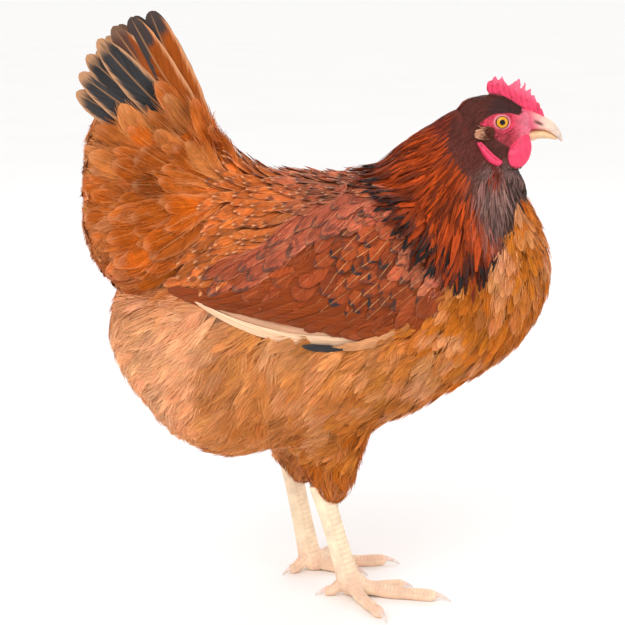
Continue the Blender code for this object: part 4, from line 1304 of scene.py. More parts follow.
def head_skin():
    """Head, comb, wattles and lobes as one skin: folds, lids and granules, with its colours."""
    bodies = [closed(loft(HEAD, 64, 7)), comb_blade()]
    for side in SIDES.values():
        bodies += [closed(loft(WATTLE, 40, 6, side=side)), closed(loft(EARLOBE, 28, 5, side=side))]
    points, quads = remeshed(bodies, bpy.context.scene.hen_sizes.head_voxel / MM)
    points = eased(points, quads, 5)
    out = normals_of(points, quads)
    flat = turned(points, back=True)
    x, y, z = flat.T
    count = len(x)
    bare = ramp(to_polygon(flat, BARE_FACE), 1.2, -0.8)
    foot = comb_foot(x)
    comb, wattle, lobe = (share_of(points, part, bodies[:1]) for part in (bodies[1:2], bodies[2::2], bodies[3::2]))
    comb *= ramp(z, 381, 384)
    red = np.maximum.reduce([bare, comb, wattle, lobe])
    # Lids and the rings of folds round them.
    side = np.sign(y)
    axis = unit(each(count, EYE_AHEAD, side, EYE_UP))
    from_eye = flat - each(count, EYE_X, side * EYE_OUT, EYE_Z)
    height = (from_eye * axis).sum(1)
    off = from_eye - axis * height[:, None]
    far = np.sqrt((off[:, 0] / 1.07) ** 2 + off[:, 1] ** 2 + (off[:, 2] / 0.95) ** 2)
    near_eye = (height > 0) & (far < 16)
    snap = near_eye & (np.abs(far - LID) < 0.42)
    scale = np.where(snap, LID / np.maximum(far, 0.1), 1)
    far = far * scale
    lids = ramp(far, 8, 6.2) * near_eye
    below = ramp(off[:, 2] + 0.3 * off[:, 0], 4, -3)
    folds = np.sin((far - 6.9 + 0.5 * mottle(flat, 4, 8)) * TAU / 1.9) * ramp(far, 6.6, 7.4) * ramp(far, 12.5, 8.5)
    folds *= near_eye * (0.5 + 0.5 * mottle(flat, 3, 6))
    rise = (lid_height(far) - height) * lids + 0.26 * folds * (0.35 + 0.65 * below)
    cos, sin = math.cos(HEAD_TURN), math.sin(HEAD_TURN)
    spin = np.array([[cos, -sin, 0], [sin, cos, 0], [0, 0, 1]])  # row vectors, so this is the turn to the right
    points = points + (axis * rise[:, None] + off * (scale - 1)[:, None]) @ spin
    # Where the head dives under the neck, it draws in towards the neck's own axis.
    inward = points - (140.5, 0, 341)
    inward = inward - 0.9 * dot(inward, np.array([0.81, 0, 0.587])) * (0.81, 0, 0.587)
    points = points - 0.32 * under_neck(flat)[:, None] * inward
    # Folds of the cheek, ribs of the comb, pebbles on all bare skin, and the crease along the lobe.
    cheek = np.sin((x * 0.5 + z * 0.9) * TAU / 3.4 + 2.5 * mottle(flat, 5, 3)) * bare * ramp(far, 8, 12) * 0.6
    ribs = np.sin((x + 0.25 * (z - foot)) * TAU / 4.6 + 1.6 * mottle(flat, 6, 1)) * comb
    pebble = mottle(flat, 1.5, 4) * (0.10 * bare + 0.26 * comb + 0.06 * wattle + 0.05 * lobe)
    crease = z - np.interp(x, *np.array(LOBE_CREASE).T) - 0.4 * mottle(flat, 6, 5)
    crease = bump(crease, 0.7) * lobe * ramp(x, 147, 144)
    relief = 0.12 * cheek + 0.3 * ribs + pebble * ramp(far, 5.5, 7.5) - 1.1 * crease - (1 - red)
    points = points + out * (relief * (1 - lids * 0.9))[:, None]
    # Colours: pale ridges and dark creases on the face, in step with its folds, partly its own whitish wrinkles and
    # partly painted light on the ridges and painted shade in the creases; brown where hair-like feathers grow over the
    # cheek.
    shade = 1 + 0.25 * folds * (0.4 + 0.6 * below) + 0.12 * cheek
    shade = shade + 0.16 * mottle(flat, 6, 9) + 0.12 * mottle(flat, 1.6, 4)
    blood = (0.16 * mottle(flat, 4, 2) + 0.07 * mottle(flat, 1.3, 3)) * (1 - 0.6 * wattle)
    # The comb's ribs are painted lighter on their tops and darker between them, and the lobe's crease darker: painted
    # light and painted shade that follow the relief.
    flesh = hen_colour("comb") * (1 + blood + 0.16 * ribs - 0.32 * crease)[:, None]
    lid = bump(far - 5.7, 0.75) * near_eye
    colour = hen_colour("face") * shade[:, None]
    for other, share in (
        (linear("#E9869A"), ramp(x, 154, 168) * ramp(z, 362, 372) * 0.6),
        (linear("#E79AA2"), 0.75 * lid),
        (linear("#7E3430"), ramp(z, 379, 366) * ramp(x, 165, 156) * 0.55),
        (flesh, np.clip(comb + wattle + lobe, 0, 1)),
        # Paler pink towards the comb's points: a painted highlight.
        (linear("#FF8FA8"), comb * ramp(z - foot, 9, 18) * 0.4),
        # The feathered skin is a darkened copy of the crown's colour: painted shade seen between the feathers.
        (hen_colour("crown") * 0.7, 1 - red),
    ):
        colour = blend(colour, other, share[:, None])
    grain = np.clip(0.5 * bare + comb + 0.35 * wattle + 0.3 * lobe, 0, 1) * ramp(far, 6, 8)
    shine = np.clip(wattle + lobe + 0.3 * comb + lid, 0, 1)
    return points, quads, colour.clip(0, 1), each(count, grain, shine, 0), red


class HEN_OT_skin(bpy.types.Operator):
    """Makes the one skin of body, head, comb, wattles and legs, and the surface that the feathers lie on"""

    bl_idname = "hen.skin"
    bl_label = "Skin"

    def execute(self, context):
        body, body_quads = body_skin()
        head, head_quads, head_colour, head_grain, red = head_skin()
        BUILT["skin"] = Skin(np.concatenate([body, head]), np.concatenate([body_quads, head_quads + len(body)]))
        BUILT["red"], BUILT["first_head"] = (Skin(head, head_quads), red), len(body_quads)
        flat = turned(body, back=True)
        upper = ramp(cape(flat)[0], 1, 0.9)[:, None]
        # The skin under the body's feathers is a darkened copy of the plumage's colour: painted shade in the gaps
        # between feathers.
        plumage_shade_colour = 0.6 * blend(grown_at("body", flat)["tint"], grown_at("neck", flat)["tint"], upper)
        parts = [(body, body_quads, plumage_shade_colour, np.zeros(body.shape)), (head, head_quads, head_colour, head_grain)]
        parts += [leg_skin(name, context.scene.hen_sizes.leg_voxel / MM) for name in SIDES]
        points, quads, colour, grain = zip(*parts)
        starts = np.cumsum([0] + [len(p) for p in points])
        quads = np.concatenate([q + start for q, start in zip(quads, starts)])
        made = mesh_object("skin", np.concatenate(points), quads, bare_skin())
        mesh = made.data
        mesh.materials.append(leg_scales())
        on_leg = quads[:, 0] >= starts[2]
        mesh.polygons.foreach_set("material_index", on_leg.astype(np.int32))
        paint(mesh, np.concatenate(colour))
        note(mesh, "grain", np.concatenate(grain))
        nodes = ["trunk", "neck", "head", "comb"]
        nodes += [f"{part}_{name}" for part in ("thigh", "shank", "foot", "wattle", "earlobe") for name in SIDES]
        in_model(made, "red_skin", *nodes)
        return {"FINISHED"}


# --- eyes, bill and claws


def bare_piece(name, points, faces, material, tint, grain):
    made = mesh_object(name, points, faces, material)
    paint(made.data, tint)
    note(made.data, "grain", grain)
    return made


class HEN_OT_eyes(bpy.types.Operator):
    """Makes the eyeballs, each with a bulging cornea"""

    bl_idname = "hen.eyes"
    bl_label = "Eyes"

    def execute(self, context):
        material = wet_eye()
        polar = np.concatenate([np.linspace(0.01, 0.75, 26), np.linspace(0.85, 3.1, 16)])
        out = EYE_RADIUS * np.sin(polar)
        height = EYE_RADIUS * np.cos(polar) + 0.35 * bump(out, 3.4) * (polar < 1)
        ring = around(48)
        for name, side in SIDES.items():
            axis = unit(np.array([EYE_AHEAD, side, EYE_UP]))
            beside, over = square_to(axis)
            spokes = beside * np.cos(ring)[:, None] + over * np.sin(ring)[:, None]
            rings = axis * height[:, None, None] + spokes[None] * out[:, None, None]
            rings = turned(rings + (EYE_X, side * EYE_OUT, EYE_Z))[::-side]
            points, faces = closed(rings)
            grain = each(len(points), np.repeat(out[::-side], len(ring)), np.tile(ring, len(out)), 0)
            made = bare_piece("eyeball_" + name, points, faces, material, np.ones((len(points), 3)), grain)
            in_model(made, "eye", "eye_" + name)
        return {"FINISHED"}


class HEN_OT_bill(bpy.types.Operator):
    """Makes the two halves of the bill, with the nostrils and the cutting edge"""

    bl_idname = "hen.bill"
    bl_label = "Bill"

    def execute(self, context):
        material, pink = horn(), linear("#F0A3A0")
        rings = loft(BILL_UPPER, 56, 12, turn=False)
        flat = rings.reshape(-1, 3)
        x, y, z = flat.T
        # The nostril is a slit under a flap, 8 mm long, that slopes with the culmen.
        dx, dz = x - NOSTRIL[0], z - NOSTRIL[1]
        along, over = dx * 0.9 - dz * 0.42, dx * 0.42 + dz * 0.9
        slit = np.exp(-((along / 4) ** 4)) * bump(over, 1.1) * (np.abs(y) > 2)
        flap = np.exp(-((along / 4.2) ** 4)) * bump(over - 1.9, 1.1) * (np.abs(y) > 2)
        lip = 0.35 * bump(z - 374.2 + 0.016 * np.clip(dx, 0, 30) ** 2, 1) * (np.abs(y) > 1.5)
        flat[:, 1] += np.sign(y) * (0.6 * flap - 2.2 * slit + lip)
        points, faces = closed(turned(flat).reshape(rings.shape))
        tint = blend(pink, hen_colour("horn"), ramp(x, 172, 185)[:, None])
        for code, share in (
            ("#D4506A", ramp(x + 0.35 * (z - 380), 178, 170)),
            ("#CDBFBA", 0.6 * ramp(x, 184, 193)),
            # Dark brown in the nostril's slit: painted shade in the opening.
            ("#4A2420", 0.95 * slit),
        ):
            tint = blend(tint, linear(code), share[:, None])
        upper = bare_piece("upper_bill", points, faces, material, tint, each(len(x), x, 0, 0))
        in_model(upper, "horn", "bill_upper")
        rings = loft(BILL_LOWER, 48, 12, turn=False)
        x = rings.reshape(-1, 3)[:, 0]
        points, faces = closed(turned(rings))
        tint = blend(pink, linear("#E9C193"), ramp(x, 166, 172)[:, None])
        lower = bare_piece("lower_bill", points, faces, material, tint, each(len(x), x, 0, 0))
        in_model(lower, "horn", "bill_lower")
        return {"FINISHED"}


class HEN_OT_claws(bpy.types.Operator):
    """Makes the eight claws, curved to the floor"""

    bl_idname = "hen.claws"
    bl_label = "Claws"

    def execute(self, context):
        bodies, tints, grains = [], [], []
        t = np.linspace(0, 1, 14)
        sides = 14
        for name in SIDES:
            for k in range(len(TOES)):
                start, ahead, length, toe = toe_line(name, k)
                high = toe.radius * 1.2
                path = start + (0, 0, high) + ahead * (length - CLAW_ROOT + (toe.claw + CLAW_ROOT) * t)[:, None]
                path[:, 2] -= (high - 0.25) * t**2
                body, faces = closed(tube(path, 2.15 * (1 - t) ** 0.75 + 0.22, sides, 1.15))
                body[:, 2] = np.maximum(body[:, 2], 0)
                bodies.append((body, faces))
                share = np.repeat(ramp(t, 0.2, 0.9), sides)[:, None]
                tints.append(blend(linear("#F2CDBB"), linear("#E3D6CB"), share))
                grains.append(np.stack([np.repeat(t * toe.claw, sides)] * 3, -1))
        material = bpy.data.materials.get("pale_horn") or horn()
        made = bare_piece("claws", *joined(bodies), material, np.concatenate(tints), np.concatenate(grains))
        in_model(made, "horn", *[f"claw_{name}_{k}" for name in SIDES for k in (1, 2, 3, 4)])
        return {"FINISHED"}


# --- feathers, tract by tract

VANES = {  # slant, fine, contrast, roughness, sheen and dark colour of each kind of vane
    "silky_contour_vane": (0.35, 11, 1, 0.55, 0.05, "#33292A"),
    "glossy_hackle_vane": (0.8, 9, 1, 0.42, 0.03, "#221C1C"),
    "soft_down": (0.6, 7, 0.4, 0.8, 0.12, "#33292A"),
    "firm_flight_vane": (0.28, 24, 1, 0.5, 0.04, "#343233"),
}


# Tips of the wing's longer feathers in the side view, and the four points that draw each primary.
SCAPULAR_EDGE = ((60, 326), (35, 322), (5, 310), (-20, 294), (-45, 279), (-62, 270), (-84, 261))
COVERT_TIPS = ((-62, 268), (-56, 256), (-38, 246), (-18, 236), (5, 229), (30, 226), (55, 230), (78, 242))
SECONDARY_TIPS = (
    (-108, 256), (-99, 253.5), (-82, 252), (-58, 248), (-34, 243), (-8, 237), (20, 229), (46, 229),
)
PRIMARIES = (
    ((76, 239), (38, 212), (-38, 214), (-90, 254)),
    ((66, 245), (30, 219), (-36, 221), (-84, 256)),
    ((56, 250), (20, 226), (-36, 228), (-76, 258)),
)
SHORT_PRIMARIES = (
    ((23, 216.4), (13, 215.8), (3, 216), (-8, 218)),
    ((62, 229), (48, 221), (32, 217.6), (14, 217)),
    ((72, 235), (63, 227.5), (52, 222.5), (36, 220)),
)
TAIL_ROOT = (-66, 345)
RIDGE, RUMP = math.radians(112), math.radians(157)  # the tail's upper and lower edges as seen from its root
TAIL_LEAN = math.tan(math.radians(17))  # how far each half leans out from upright
CUSHION_ROOT = (-58, 330)
CUSHION_REACH = (  # how far its tips reach from there, at each angle
    (108, 48), (116, 66), (124, 100), (147, 112), (160, 119), (175, 114), (193, 117), (210, 122), (222, 110),
)
# Each tier's share of that reach, the length and half width of its feathers, and how high their tips stand.
CUSHION_TIERS = ((1, 84, 18, 6.5), (0.84, 70, 16, 7.7), (0.67, 56, 14, 8.7), (0.5, 44, 11, 9.5))


def vane(name):
    """The plumage of this name, made when it is first asked for."""
    return bpy.data.materials.get(name) or plumage(name, *VANES[name])


def on_wing(points):
    """Which points of the skin lie under the folded wings."""
    return (to_polygon(points, WING_EDGE) < 0) & (np.abs(points[:, 1]) > 28)


class HEN_OT_face_feathers(bpy.types.Operator):
    """Grows the small feathers of crown, brow, cheek and throat, and the tufts over the ears"""

    bl_idname = "hen.face_feathers"
    bl_label = "Face feathers"

    def execute(self, context):
        coat = Coat(11)
        head, red = BUILT["red"]
        first = BUILT["first_head"]

        def keep(points):
            flat = turned(points, back=True)
            x, z = side_view(flat)
            hidden = under_neck(flat)
            close = (cape(flat)[0] < 0.36) | (x > 138) & (z > 343)
            close[:first] &= hidden[:first] > 0.3
            close[first:] &= (red[head.quads].mean(1) < 0.35) & (hidden[first:] < 0.6)
            behind_comb = (np.abs(flat[:, 1]) > 3.2) | (x < 132) | (x > 150) | (z < 394)
            return close & (z < 402.5) & behind_comb

        plant(coat, "head", keep, low=0.1, rows=5, columns=3)
        for side in SIDES.values():
            self.ear_tuft(coat, side)
        for side in SIDES.values():
            self.bristles(coat, side)
        coat.piece("face_feathers", "silky_contour_vane", "ear_coverts_right", "ear_coverts_left")
        return {"FINISHED"}

    def ear_tuft(self, coat, side):
        """Stiff little feathers, buff at the back and brown in front, that lie backwards."""
        random, count = coat.random, 700
        s, t = random.random(count), random.uniform(-1, 1, count)
        places = each(count, 143 - 11 * s, 373.6 - 0.6 * s + 5.2 * t * np.sin(math.pi * (0.2 + 0.62 * s)))
        flat, _ = BUILT["skin"].beside(places, side)
        roots = turned(each(count, places[:, 0], np.abs(flat[:, 1]) * side, places[:, 1]))
        v = vane_rows(5)
        lie = unit(each(count, -1, 0.12 * side, -0.12 - 0.1 * t))
        length, high = random.uniform(4, 5.5, count), random.uniform(1.8, 3, count)
        path, out = laid(BUILT["skin"], roots, lie, length, v, 0.8, high)
        half = random.uniform(0.22, 0.4, count)[:, None] * outline(v, 0.6)
        share = ramp(s + random.normal(0, 0.1, count), 0.35, 0.75)[:, None]
        tint = blend(linear("#5E3022"), linear("#E0A582"), share) * random.normal(1, 0.12, (count, 1))
        coat.vanes(path, out, half, v, flat, with_end(tint, 0), 0 * roots, 0 * roots, columns=3, roll=25)

    def bristles(self, coat, side):
        """Sparse dark bristles below and behind the eye."""
        random, tried = coat.random, 420
        x, z = random.uniform(137, 167, tried), random.uniform(357, 377, tried)
        bare = (to_polygon(each(tried, x, z), BARE_FACE) < -0.5) & (z > 366 + 0.8 * (x - 152).clip(0))
        places = each(tried, x, z)[bare & (random.random(tried) < 0.35 + 0.65 * ramp(x, 162, 148))]
        count = len(places)
        flat, _ = BUILT["skin"].beside(places, side)
        v = vane_rows(4)
        lie = unit(each(count, -0.7 + random.normal(0, 0.2, count), 0, -0.7))
        path, out = laid(BUILT["skin"], turned(flat), lie, random.uniform(2, 3.6, count), v, 0.05, 0.5)
        half = random.uniform(0.09, 0.16, count)[:, None] * outline(v, 0.9)
        tint = linear("#54201C") * random.normal(1, 0.15, (count, 1))
        coat.vanes(path, out, half, v, flat, with_end(tint, 0), 0 * flat, 0 * flat, columns=2, roll=25, fray=0)


class HEN_OT_hackle(bpy.types.Operator):
    """Grows the hackle, from the nape's short points to the long black-tipped cape"""

    bl_idname = "hen.hackle"
    bl_label = "Hackle"

    def execute(self, context):
        coat = Coat(12)
        first = BUILT["first_head"]

        def keep(points):
            flat = turned(points, back=True)
            x, z = side_view(flat)
            down, _ = cape(flat)
            mine = (down > 0.3) & (down < 0.82) & (z > 250) & ((x < 138) | (z < 348))
            hidden = under_neck(flat)
            hidden[:first] = 1 - hidden[:first]
            mine |= (x > 145) & (z > 312) & (z < 348) & (down < 1.4)
            return mine & (hidden < 0.75 + 0.2 * ramp(x, 140, 150)) & ((x < 128) | (z < 394))

        def fit(flat, n):
            x, z = side_view(flat)
            down, reach = cape(flat)
            room = reach * (1.03 - down) + coat.random.normal(0, 3, len(down))
            room = np.where((x > 145) & (z > 312), np.maximum(room, 18), room)
            n["length"] = np.minimum(n["length"], room)
            outer = ramp(down + n["length"] / reach, 0.86, 1)
            dark = coat.random.random(len(down)) < 0.3 + 0.5 * outer
            n["dark"] = np.clip(n["dark"] * (0.45 + 0.9 * outer) * dark, 0, 1)
            n["tint"] = n["tint"] * (1 - 0.35 * ramp(down, 0.45, 0.8))[:, None]
            return room > 12

        plant(coat, "neck", keep, rows=9, columns=3, fit=fit)
        coat.piece("hackle", "glossy_hackle_vane")
        return {"FINISHED"}


class HEN_OT_body_feathers(bpy.types.Operator):
    """Grows the feathers of breast, back, saddle and cushion, and the down of belly, flanks and vent"""

    bl_idname = "hen.body_feathers"
    bl_label = "Body feathers"

    def execute(self, context):
        for name, side in SIDES.items():
            for number, part in enumerate(("contour", "breast", "belly", "vent")):
                self.grow(name, side, number, part)
        return {"FINISHED"}

    def grow(self, name, side, number, part):
        """Grows one piece of the coat on one side: the firm feathers, or one length of the soft ones."""
        coat = Coat(20 + side + 5 * number)
        firm = part == "contour"

        def keep(points):
            x, z = side_view(points)
            mine = (points[:, 1] * side > 0) & (z > 100) & (cape(points)[0] > 0.74 + 0.13 * ramp(x, 85, 105))
            mine &= (x < 100) | (z < 318) | (x > 156) & (z < 331)
            index = np.flatnonzero(mine)
            near = points[index]
            lower = near - np.outer(6 * ramp(near[:, 0], -66, -80), (0, 0, 1))
            mine[index[on_wing(near) & on_wing(lower) | leg_zone(near) & (near[:, 2] < 150)]] = False
            return mine

        def fit(flat, n):
            return np.where(n["soft"] <= 0.5, 0, np.digitize(-flat[:, 0], (-60, 30)) + 1) == number

        plant(coat, "body", keep, fit=fit, rows=8 if firm else 7, columns=5 if firm else 3, low=0.3)
        nodes = ["tail_coverts"] if firm and side < 0 else []
        coat.piece(f"body_{part}_{name}", "silky_contour_vane" if firm else "soft_down", *nodes)


def leg_zone(points):
    """Which points lie on the thighs, below the body."""
    if "thigh" not in BUILT:
        BUILT["thigh"] = tree_of(cad("thigh_right", "thigh_left"))
        BUILT["trunk"] = tree_of(cad("trunk"))
    return distance(BUILT["thigh"], points) < distance(BUILT["trunk"], points)


class HEN_OT_thigh_feathers(bpy.types.Operator):
    """Grows the feathers of the thighs, ragged round the hocks"""

    bl_idname = "hen.thigh_feathers"
    bl_label = "Thigh feathers"

    def execute(self, context):
        coat = Coat(31)

        def keep(points):
            mine = points[:, 2] < 170
            index = np.flatnonzero(mine)
            mine[index[~leg_zone(points[index])]] = False
            return mine

        plant(coat, "thigh", keep, rows=7, columns=3)
        coat.piece("thigh_feathers", "soft_down")
        return {"FINISHED"}


def tail_plane(places):
    """How far out from the middle each half of the tail stands at places in the side view."""
    x, z = side_view(places)
    dx, dz = x - TAIL_ROOT[0], z - TAIL_ROOT[1]
    angle, reach = np.arctan2(dz, dx), np.hypot(dx, dz)
    across = np.clip((angle - RIDGE) / (RUMP - RIDGE), -0.3, 1.4)
    below = reach * np.sin(np.clip(angle - RIDGE, 0, 1.2))
    return 1 + below * TAIL_LEAN + 7 * np.sin(math.pi * np.clip(across, 0, 1)) * np.clip(reach / 130, 0, 1)


class HEN_OT_wings(bpy.types.Operator):
    """Grows the folded wings: coverts, scapulars, secondaries and the cream primaries under them"""

    bl_idname = "hen.wings"
    bl_label = "Wings"

    def execute(self, context):
        for name, side in SIDES.items():
            coat = Coat(40 + side)

            def keep(points):
                x, z = side_view(points)
                mine = (points[:, 1] * side > 20) & (cape(points)[0] > 0.78) & (to_polygon(points, WING_TIP) > 0)
                top = np.interp(x, *np.array(WING_EDGE[8::-1], float).T)
                return mine & ((top - z > 9) | (x > 66)) & on_wing(points)

            def fit(flat, n):
                end = flat + n["lie"] * n["length"][:, None]
                return (to_polygon(end, WING_EDGE) < -1.5) | (end[:, 0] > 78) | (end[:, 2] > 270)

            plant(coat, "wing", keep, fit=fit)
            self.scapulars(coat, side)
            self.greater_coverts(coat, side)
            coat.piece("wing_feathers_" + name, "silky_contour_vane", "wing_" + name)
            coat = Coat(50 + side)
            self.secondaries(coat, side)
            self.primaries(coat, side)
            coat.piece("flight_feathers_" + name, "firm_flight_vane", "primaries_" + name)
        return {"FINISHED"}

    def scapulars(self, coat, side):
        """Two layers along the wing's upper edge, barred grey, from the shoulder back to the tip."""
        random = coat.random
        k = np.linspace(0.2, 1, 9)
        count = len(k)
        edge = straight(SCAPULAR_EDGE, k)
        for layer, (inward, length) in enumerate(((0, 60), (9, 52))):
            tips = edge + np.array([2, -1]) * inward / 2.5 + random.normal(0, 2, edge.shape)
            ahead = unit(unit(np.gradient(edge, axis=0)) + (-0.02, -0.16))
            back = ahead * length * (0.4 + 0.6 * ramp(k, 0.1, 0.5))[:, None]
            roots = tips - back
            bow = np.stack([ahead[:, 1], -ahead[:, 0]], -1) * 3
            curves = np.stack([roots, roots + back * 0.33 + bow, roots + back * 0.7 + bow * 0.8, tips], 1)
            low = (0.2 + 1.8 * ramp(k, 0.05, 0.4)) * (1 - 0.3 * layer)
            tint = hen_colour("scapular") * random.normal(1, 0.16, (count, 1))
            tint = blend(tint, hen_colour("covert") * 1.25, 0.6 * k[:, None])
            trim = each(count, 0.4, 0.5 * random.random(count) ** 2, 0)
            looks = with_end(tint, 0.1), each(count, 0.8, 0.93, 0.25), trim
            more = dict(rows=14, barbs=40, soft=0.25, roll=6, arch=1 / 55)
            coat.drape(curves, side, low, 3.2 + 1 * k, 8.5, 0.2, *looks, **more)

    def greater_coverts(self, coat, side):
        """Broad round ends over the secondaries."""
        random = coat.random
        k = np.linspace(0, 1, 10)
        count = len(k)
        tips = straight(COVERT_TIPS, k)
        tips += random.normal(0, 1, tips.shape)
        ahead = unit(each(count, -0.9 + 0.16 * k, -0.42 - 0.26 * k))
        roots = tips - ahead * 44
        curves = np.stack([roots, roots + ahead * 15, roots + ahead * 30, tips], 1)
        tint = hen_colour("covert") * random.normal(1, 0.08, (count, 1))
        mark = each(count, 0.4 * random.random(count), 0.96, 0.12)
        looks = with_end(tint, 0), mark, each(count, 0.1, 0, 0)
        more = dict(rows=14, barbs=14, soft=0.03, roll=4, arch=1 / 60, fray=0.02)
        coat.drape(curves, side, 0.8, 4.4, 10, 0.1, *looks, **more)

    def secondaries(self, coat, side):
        """The long brown flight feathers, stacked like a fan towards the tip."""
        k = np.linspace(0, 1, 13)
        count = len(k)
        tips = straight(SECONDARY_TIPS, k)
        length = (104 - 34 * k)[:, None]
        ending = tips + unit(each(count, 0.985 - 0.02 * k, -0.1 - 0.04 * k)) * length * 0.36
        middle = ending + unit(each(count, 0.9 - 0.1 * k, 0.4 + 0.15 * k)) * length * 0.3
        roots = middle + unit(each(count, 0.86 - 0.1 * k, 0.5 + 0.12 * k)) * length * 0.34
        tint = hen_colour("secondary") * coat.random.normal(1, 0.06, (count, 1))
        looks = with_end(tint, 0), each(count, 0.15, 0.97, 0.06), each(count, 0.08, 0, 0)
        curves = np.stack([roots, middle, ending, tips], 1)
        coat.drape(curves, side, 1.5 - k, 5, 9.5, 0.35, *looks, roll=2, arch=1 / 70, fray=0.015)

    def primaries(self, coat, side):
        """Three cream ones along the wing's lower edge, then the black mark on them and the brown ones in front."""
        cream = hen_colour("primary")
        tint = np.array([cream, cream * (0.84, 0.7, 0.66), cream * (0.6, 0.4, 0.34)])
        looks = with_end(tint, 0), each(3, 0, 1, (0.5, 0.3, 0.2)), each(3, 0.2, 0, 0)
        rise, half = (4.6, 3.2, 2.2), (5.4, 5.6, 6)
        coat.drape(np.array(PRIMARIES), side, (1.4, 1.2, 1), rise, half, 0.5, *looks, roll=2, arch=1 / 60, fray=0.01)
        tint = np.array([hen_colour("slate"), linear("#C98A5C"), linear("#A9642F")])
        mark = each(3, (0, 0.5, 0.5), (1, 0.9, 0.92), (0, 0.2, 0.2))
        looks = with_end(tint, 0), mark, each(3, (0.1, 0.3, 0.3), 0, 0)
        more = dict(rows=9, roll=2, arch=1 / 60, fray=0.06)
        coat.drape(np.array(SHORT_PRIMARIES), side, (5.4, 4.8, 4.4), 0.8, (3.4, 4.4, 4.6), 0.3, *looks, **more)


class HEN_OT_tail(bpy.types.Operator):
    """Grows the tail: two leaning fans of slate feathers, and the soft round coverts over their roots"""

    bl_idname = "hen.tail"
    bl_label = "Tail"

    def execute(self, context):
        coat = Coat(61)
        for side in SIDES.values():
            self.fan(coat, side, context.scene.hen_sizes.tail_feathers)
        coat.piece("tail_fan", "firm_flight_vane", "tail_right", "tail_left")
        coat = Coat(62)
        for side in SIDES.values():
            for tier, (share, length, half, high) in enumerate(CUSHION_TIERS):
                self.cushion(coat, side, tier, share, length, half, high)
        coat.piece("tail_cushion", "silky_contour_vane")
        return {"FINISHED"}

    def fan(self, coat, side, count):
        """One half of the tail, from its orange foremost feathers to the slate ones at the rear."""
        k = (np.arange(count) + 0.5) / count
        odd = np.arange(count) % 2
        v = vane_rows(22)
        t = v[None, :, None]
        angle = np.radians(113 + 42 * k)
        length = 132 + 10 * np.sin(math.pi * k) - 6 * k
        ray, across = each(count, np.cos(angle), np.sin(angle)), each(count, -np.sin(angle), np.cos(angle))
        start, end = TAIL_ROOT + 16 * ray, TAIL_ROOT + length[:, None] * ray
        flat = blend(start[:, None], end[:, None], t) + across[:, None] * (3 * np.sin(math.pi * t))
        stack = 1 + 2.6 * odd[:, None] + 0.9 * (1 - k)[:, None]
        y = side * (tail_plane(flat) + stack * (1 - 0.5 * v))
        path = np.stack([flat[..., 0], y, flat[..., 1]], -1)
        out = unit(np.broadcast_to(np.array([0.12, side, 0.3]), path.shape))
        half = (12.5 - 1 * k)[:, None] * outline(v, np.zeros(count)) * (0.7 + 0.3 * ramp(v, 0, 0.5))
        slate = ramp(k, 0.3, 0.5)
        tint = blend(hen_colour("cushion") * 0.72, hen_colour("slate"), slate[:, None])
        tint *= coat.random.normal(1, 0.06, (count, 1))
        mark = each(count, 0.95 * (1 - slate), 0.76 - 0.1 * odd, 0.35)
        roots, trim = each(count, start[:, 0], side * 10, start[:, 1]), each(count, 1.5, 0, 0.3 * side)
        more = dict(columns=9, roll=3, arch=1 / 90, fray=0.02)
        coat.feathers(path, out, half, v, roots, with_end(tint, 0), mark, trim, **more)

    def cushion(self, coat, side, tier, share, length, half, high):
        """One tier of the round coverts over the root of the tail."""
        random = coat.random
        angle = np.arange(121 + 6 * (tier % 2), 220, 12)
        angle = np.radians(angle + random.normal(0, 3, len(angle)))
        reach = np.interp(np.degrees(angle), *np.array(CUSHION_REACH, float).T) * share
        reach = reach + random.normal(0, 5, len(angle)) * (1.2 - share)
        angle, reach = angle[reach > 44], reach[reach > 44]
        count = len(angle)
        ray = each(count, np.cos(angle), np.sin(angle))
        tips = CUSHION_ROOT + ray * reach[:, None]
        roots = CUSHION_ROOT + ray * (reach - np.minimum(length, reach * 0.86))[:, None]
        bow = each(count, -ray[:, 1], ray[:, 0]) * random.normal(2, 4, count)[:, None]
        curves = np.stack([roots, blend(roots, tips, 0.33) + bow, blend(roots, tips, 0.7) + bow, tips], 1)
        tint = hen_colour("cushion") * random.normal(1.05, 0.2, (count, 1))
        pale = (0.7 * random.random(count) ** 2 + 0.2 * (tier == 0)) * ramp(angle, 3.5, 2.8)
        tint = with_end(blend(tint, hen_colour("flank"), pale[:, None]), 0.2)
        mark = each(count, 0, 1, random.uniform(0, 0.75, count))
        trim = each(count, random.uniform(0.2, 0.6, count), 0, 0)
        point = random.uniform(0.1, 0.6, count)
        more = dict(rows=12, columns=9, barbs=110, soft=0.5, roll=6, arch=1 / 75, over=lambda p: tail_plane(p) + 3)
        coat.drape(curves, side, 0.3, high, half, point, tint, mark, trim, **more)


# --- the studio

FLOOR_RADIUS = 60  # metres, so that its edge is out of sight
CAMERA_AIM_Z = 0.228  # metres, the middle of the hen's height


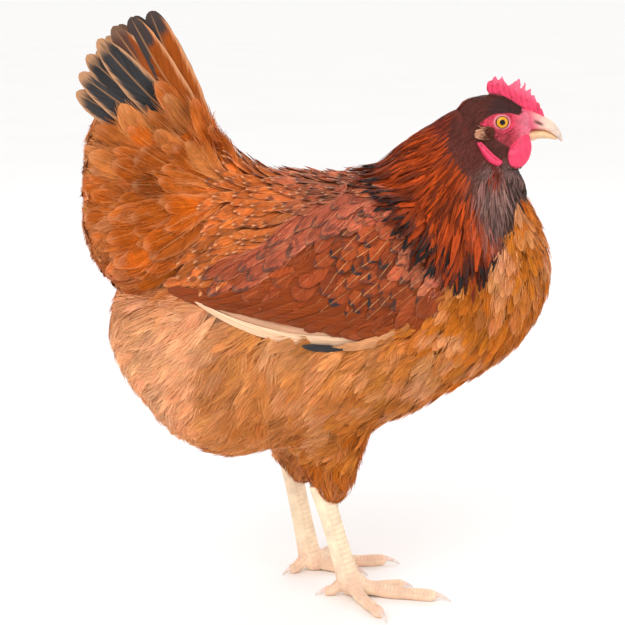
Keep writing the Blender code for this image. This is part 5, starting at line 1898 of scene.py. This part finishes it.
class HEN_OT_stage(bpy.types.Operator):
    """Makes the pale floor, the soft lights and the camera"""

    bl_idname = "hen.stage"
    bl_label = "Stage"

    def execute(self, context):
        stage, scene = context.scene.hen_stage, context.scene
        disc = around(96)
        rim = FLOOR_RADIUS * each(len(disc), np.cos(disc), np.sin(disc), 0)
        floor = mesh_object("floor", rim, [tuple(range(len(disc)))], floor_paint(tuple(stage.backdrop)))
        middle = Vector((SHIFT[0] * MM, SHIFT[1] * MM, CAMERA_AIM_Z))
        back = Vector((0, -math.cos(stage.tilt), math.sin(stage.tilt)))
        camera = bpy.data.objects.new("camera", bpy.data.cameras.new("camera"))
        camera.data.lens, camera.data.sensor_width, camera.data.clip_end = stage.lens, 36, 200
        camera.location = middle + back * stage.away
        camera.rotation_euler = (-back).to_track_quat("-Z", "Y").to_euler()
        scene.collection.objects.link(camera)
        scene.camera = camera
        for name, place, size, power in (
            ("key", (-0.9, -1.5, 1.7), 1.5, stage.key),
            ("fill", (1.5, -1.1, 0.9), 1.4, stage.fill),
            ("rim", (0.3, 1.5, 1.5), 1.4, stage.fill * 1.2),
        ):
            light = bpy.data.lights.new(name, "AREA")
            light.shape, light.size, light.energy = "DISK", size, power
            lamp = bpy.data.objects.new(name, light)
            lamp.location = place
            lamp.rotation_euler = (Vector((0, 0, 0.22)) - Vector(place)).to_track_quat("-Z", "Y").to_euler()
            scene.collection.objects.link(lamp)
        world = bpy.data.worlds.new("studio")
        world.use_nodes = True
        even = world.node_tree.nodes["Background"].inputs
        even["Color"].default_value, even["Strength"].default_value = (1, 1, 1, 1), stage.sky
        scene.world = world
        scene.view_settings.view_transform = "Standard"
        return {"FINISHED"}


class HEN_PT_panel(bpy.types.Panel):
    """Lists the hen's pieces, sizes and colours"""

    bl_label = "Hen"
    bl_idname = "HEN_PT_panel"
    bl_space_type = "VIEW_3D"
    bl_region_type = "UI"
    bl_category = "Hen"

    def draw(self, context):
        for operator in OPERATORS:
            self.layout.operator(operator.bl_idname)
        for group in (context.scene.hen_sizes, context.scene.hen_colours, context.scene.hen_stage):
            for name in group.__annotations__:
                self.layout.prop(group, name)


OPERATORS = (
    HEN_OT_stage, HEN_OT_skin, HEN_OT_eyes, HEN_OT_bill, HEN_OT_claws, HEN_OT_face_feathers, HEN_OT_hackle,
    HEN_OT_body_feathers, HEN_OT_thigh_feathers, HEN_OT_wings, HEN_OT_tail,
)
CLASSES = (HenColours, HenSizes, HenStage, *OPERATORS, HEN_PT_panel)


def register():
    for one in CLASSES:
        bpy.utils.register_class(one)
    bpy.types.Scene.hen_colours = PointerProperty(type=HenColours)
    bpy.types.Scene.hen_sizes = PointerProperty(type=HenSizes)
    bpy.types.Scene.hen_stage = PointerProperty(type=HenStage)


def unregister():
    for name in ("hen_colours", "hen_sizes", "hen_stage"):
        delattr(bpy.types.Scene, name)
    for one in reversed(CLASSES):
        bpy.utils.unregister_class(one)


def main():
    register()
    for operator in OPERATORS:
        group, name = operator.bl_idname.split(".")
        getattr(getattr(bpy.ops, group), name)()


if __name__ == "__main__":
    main()
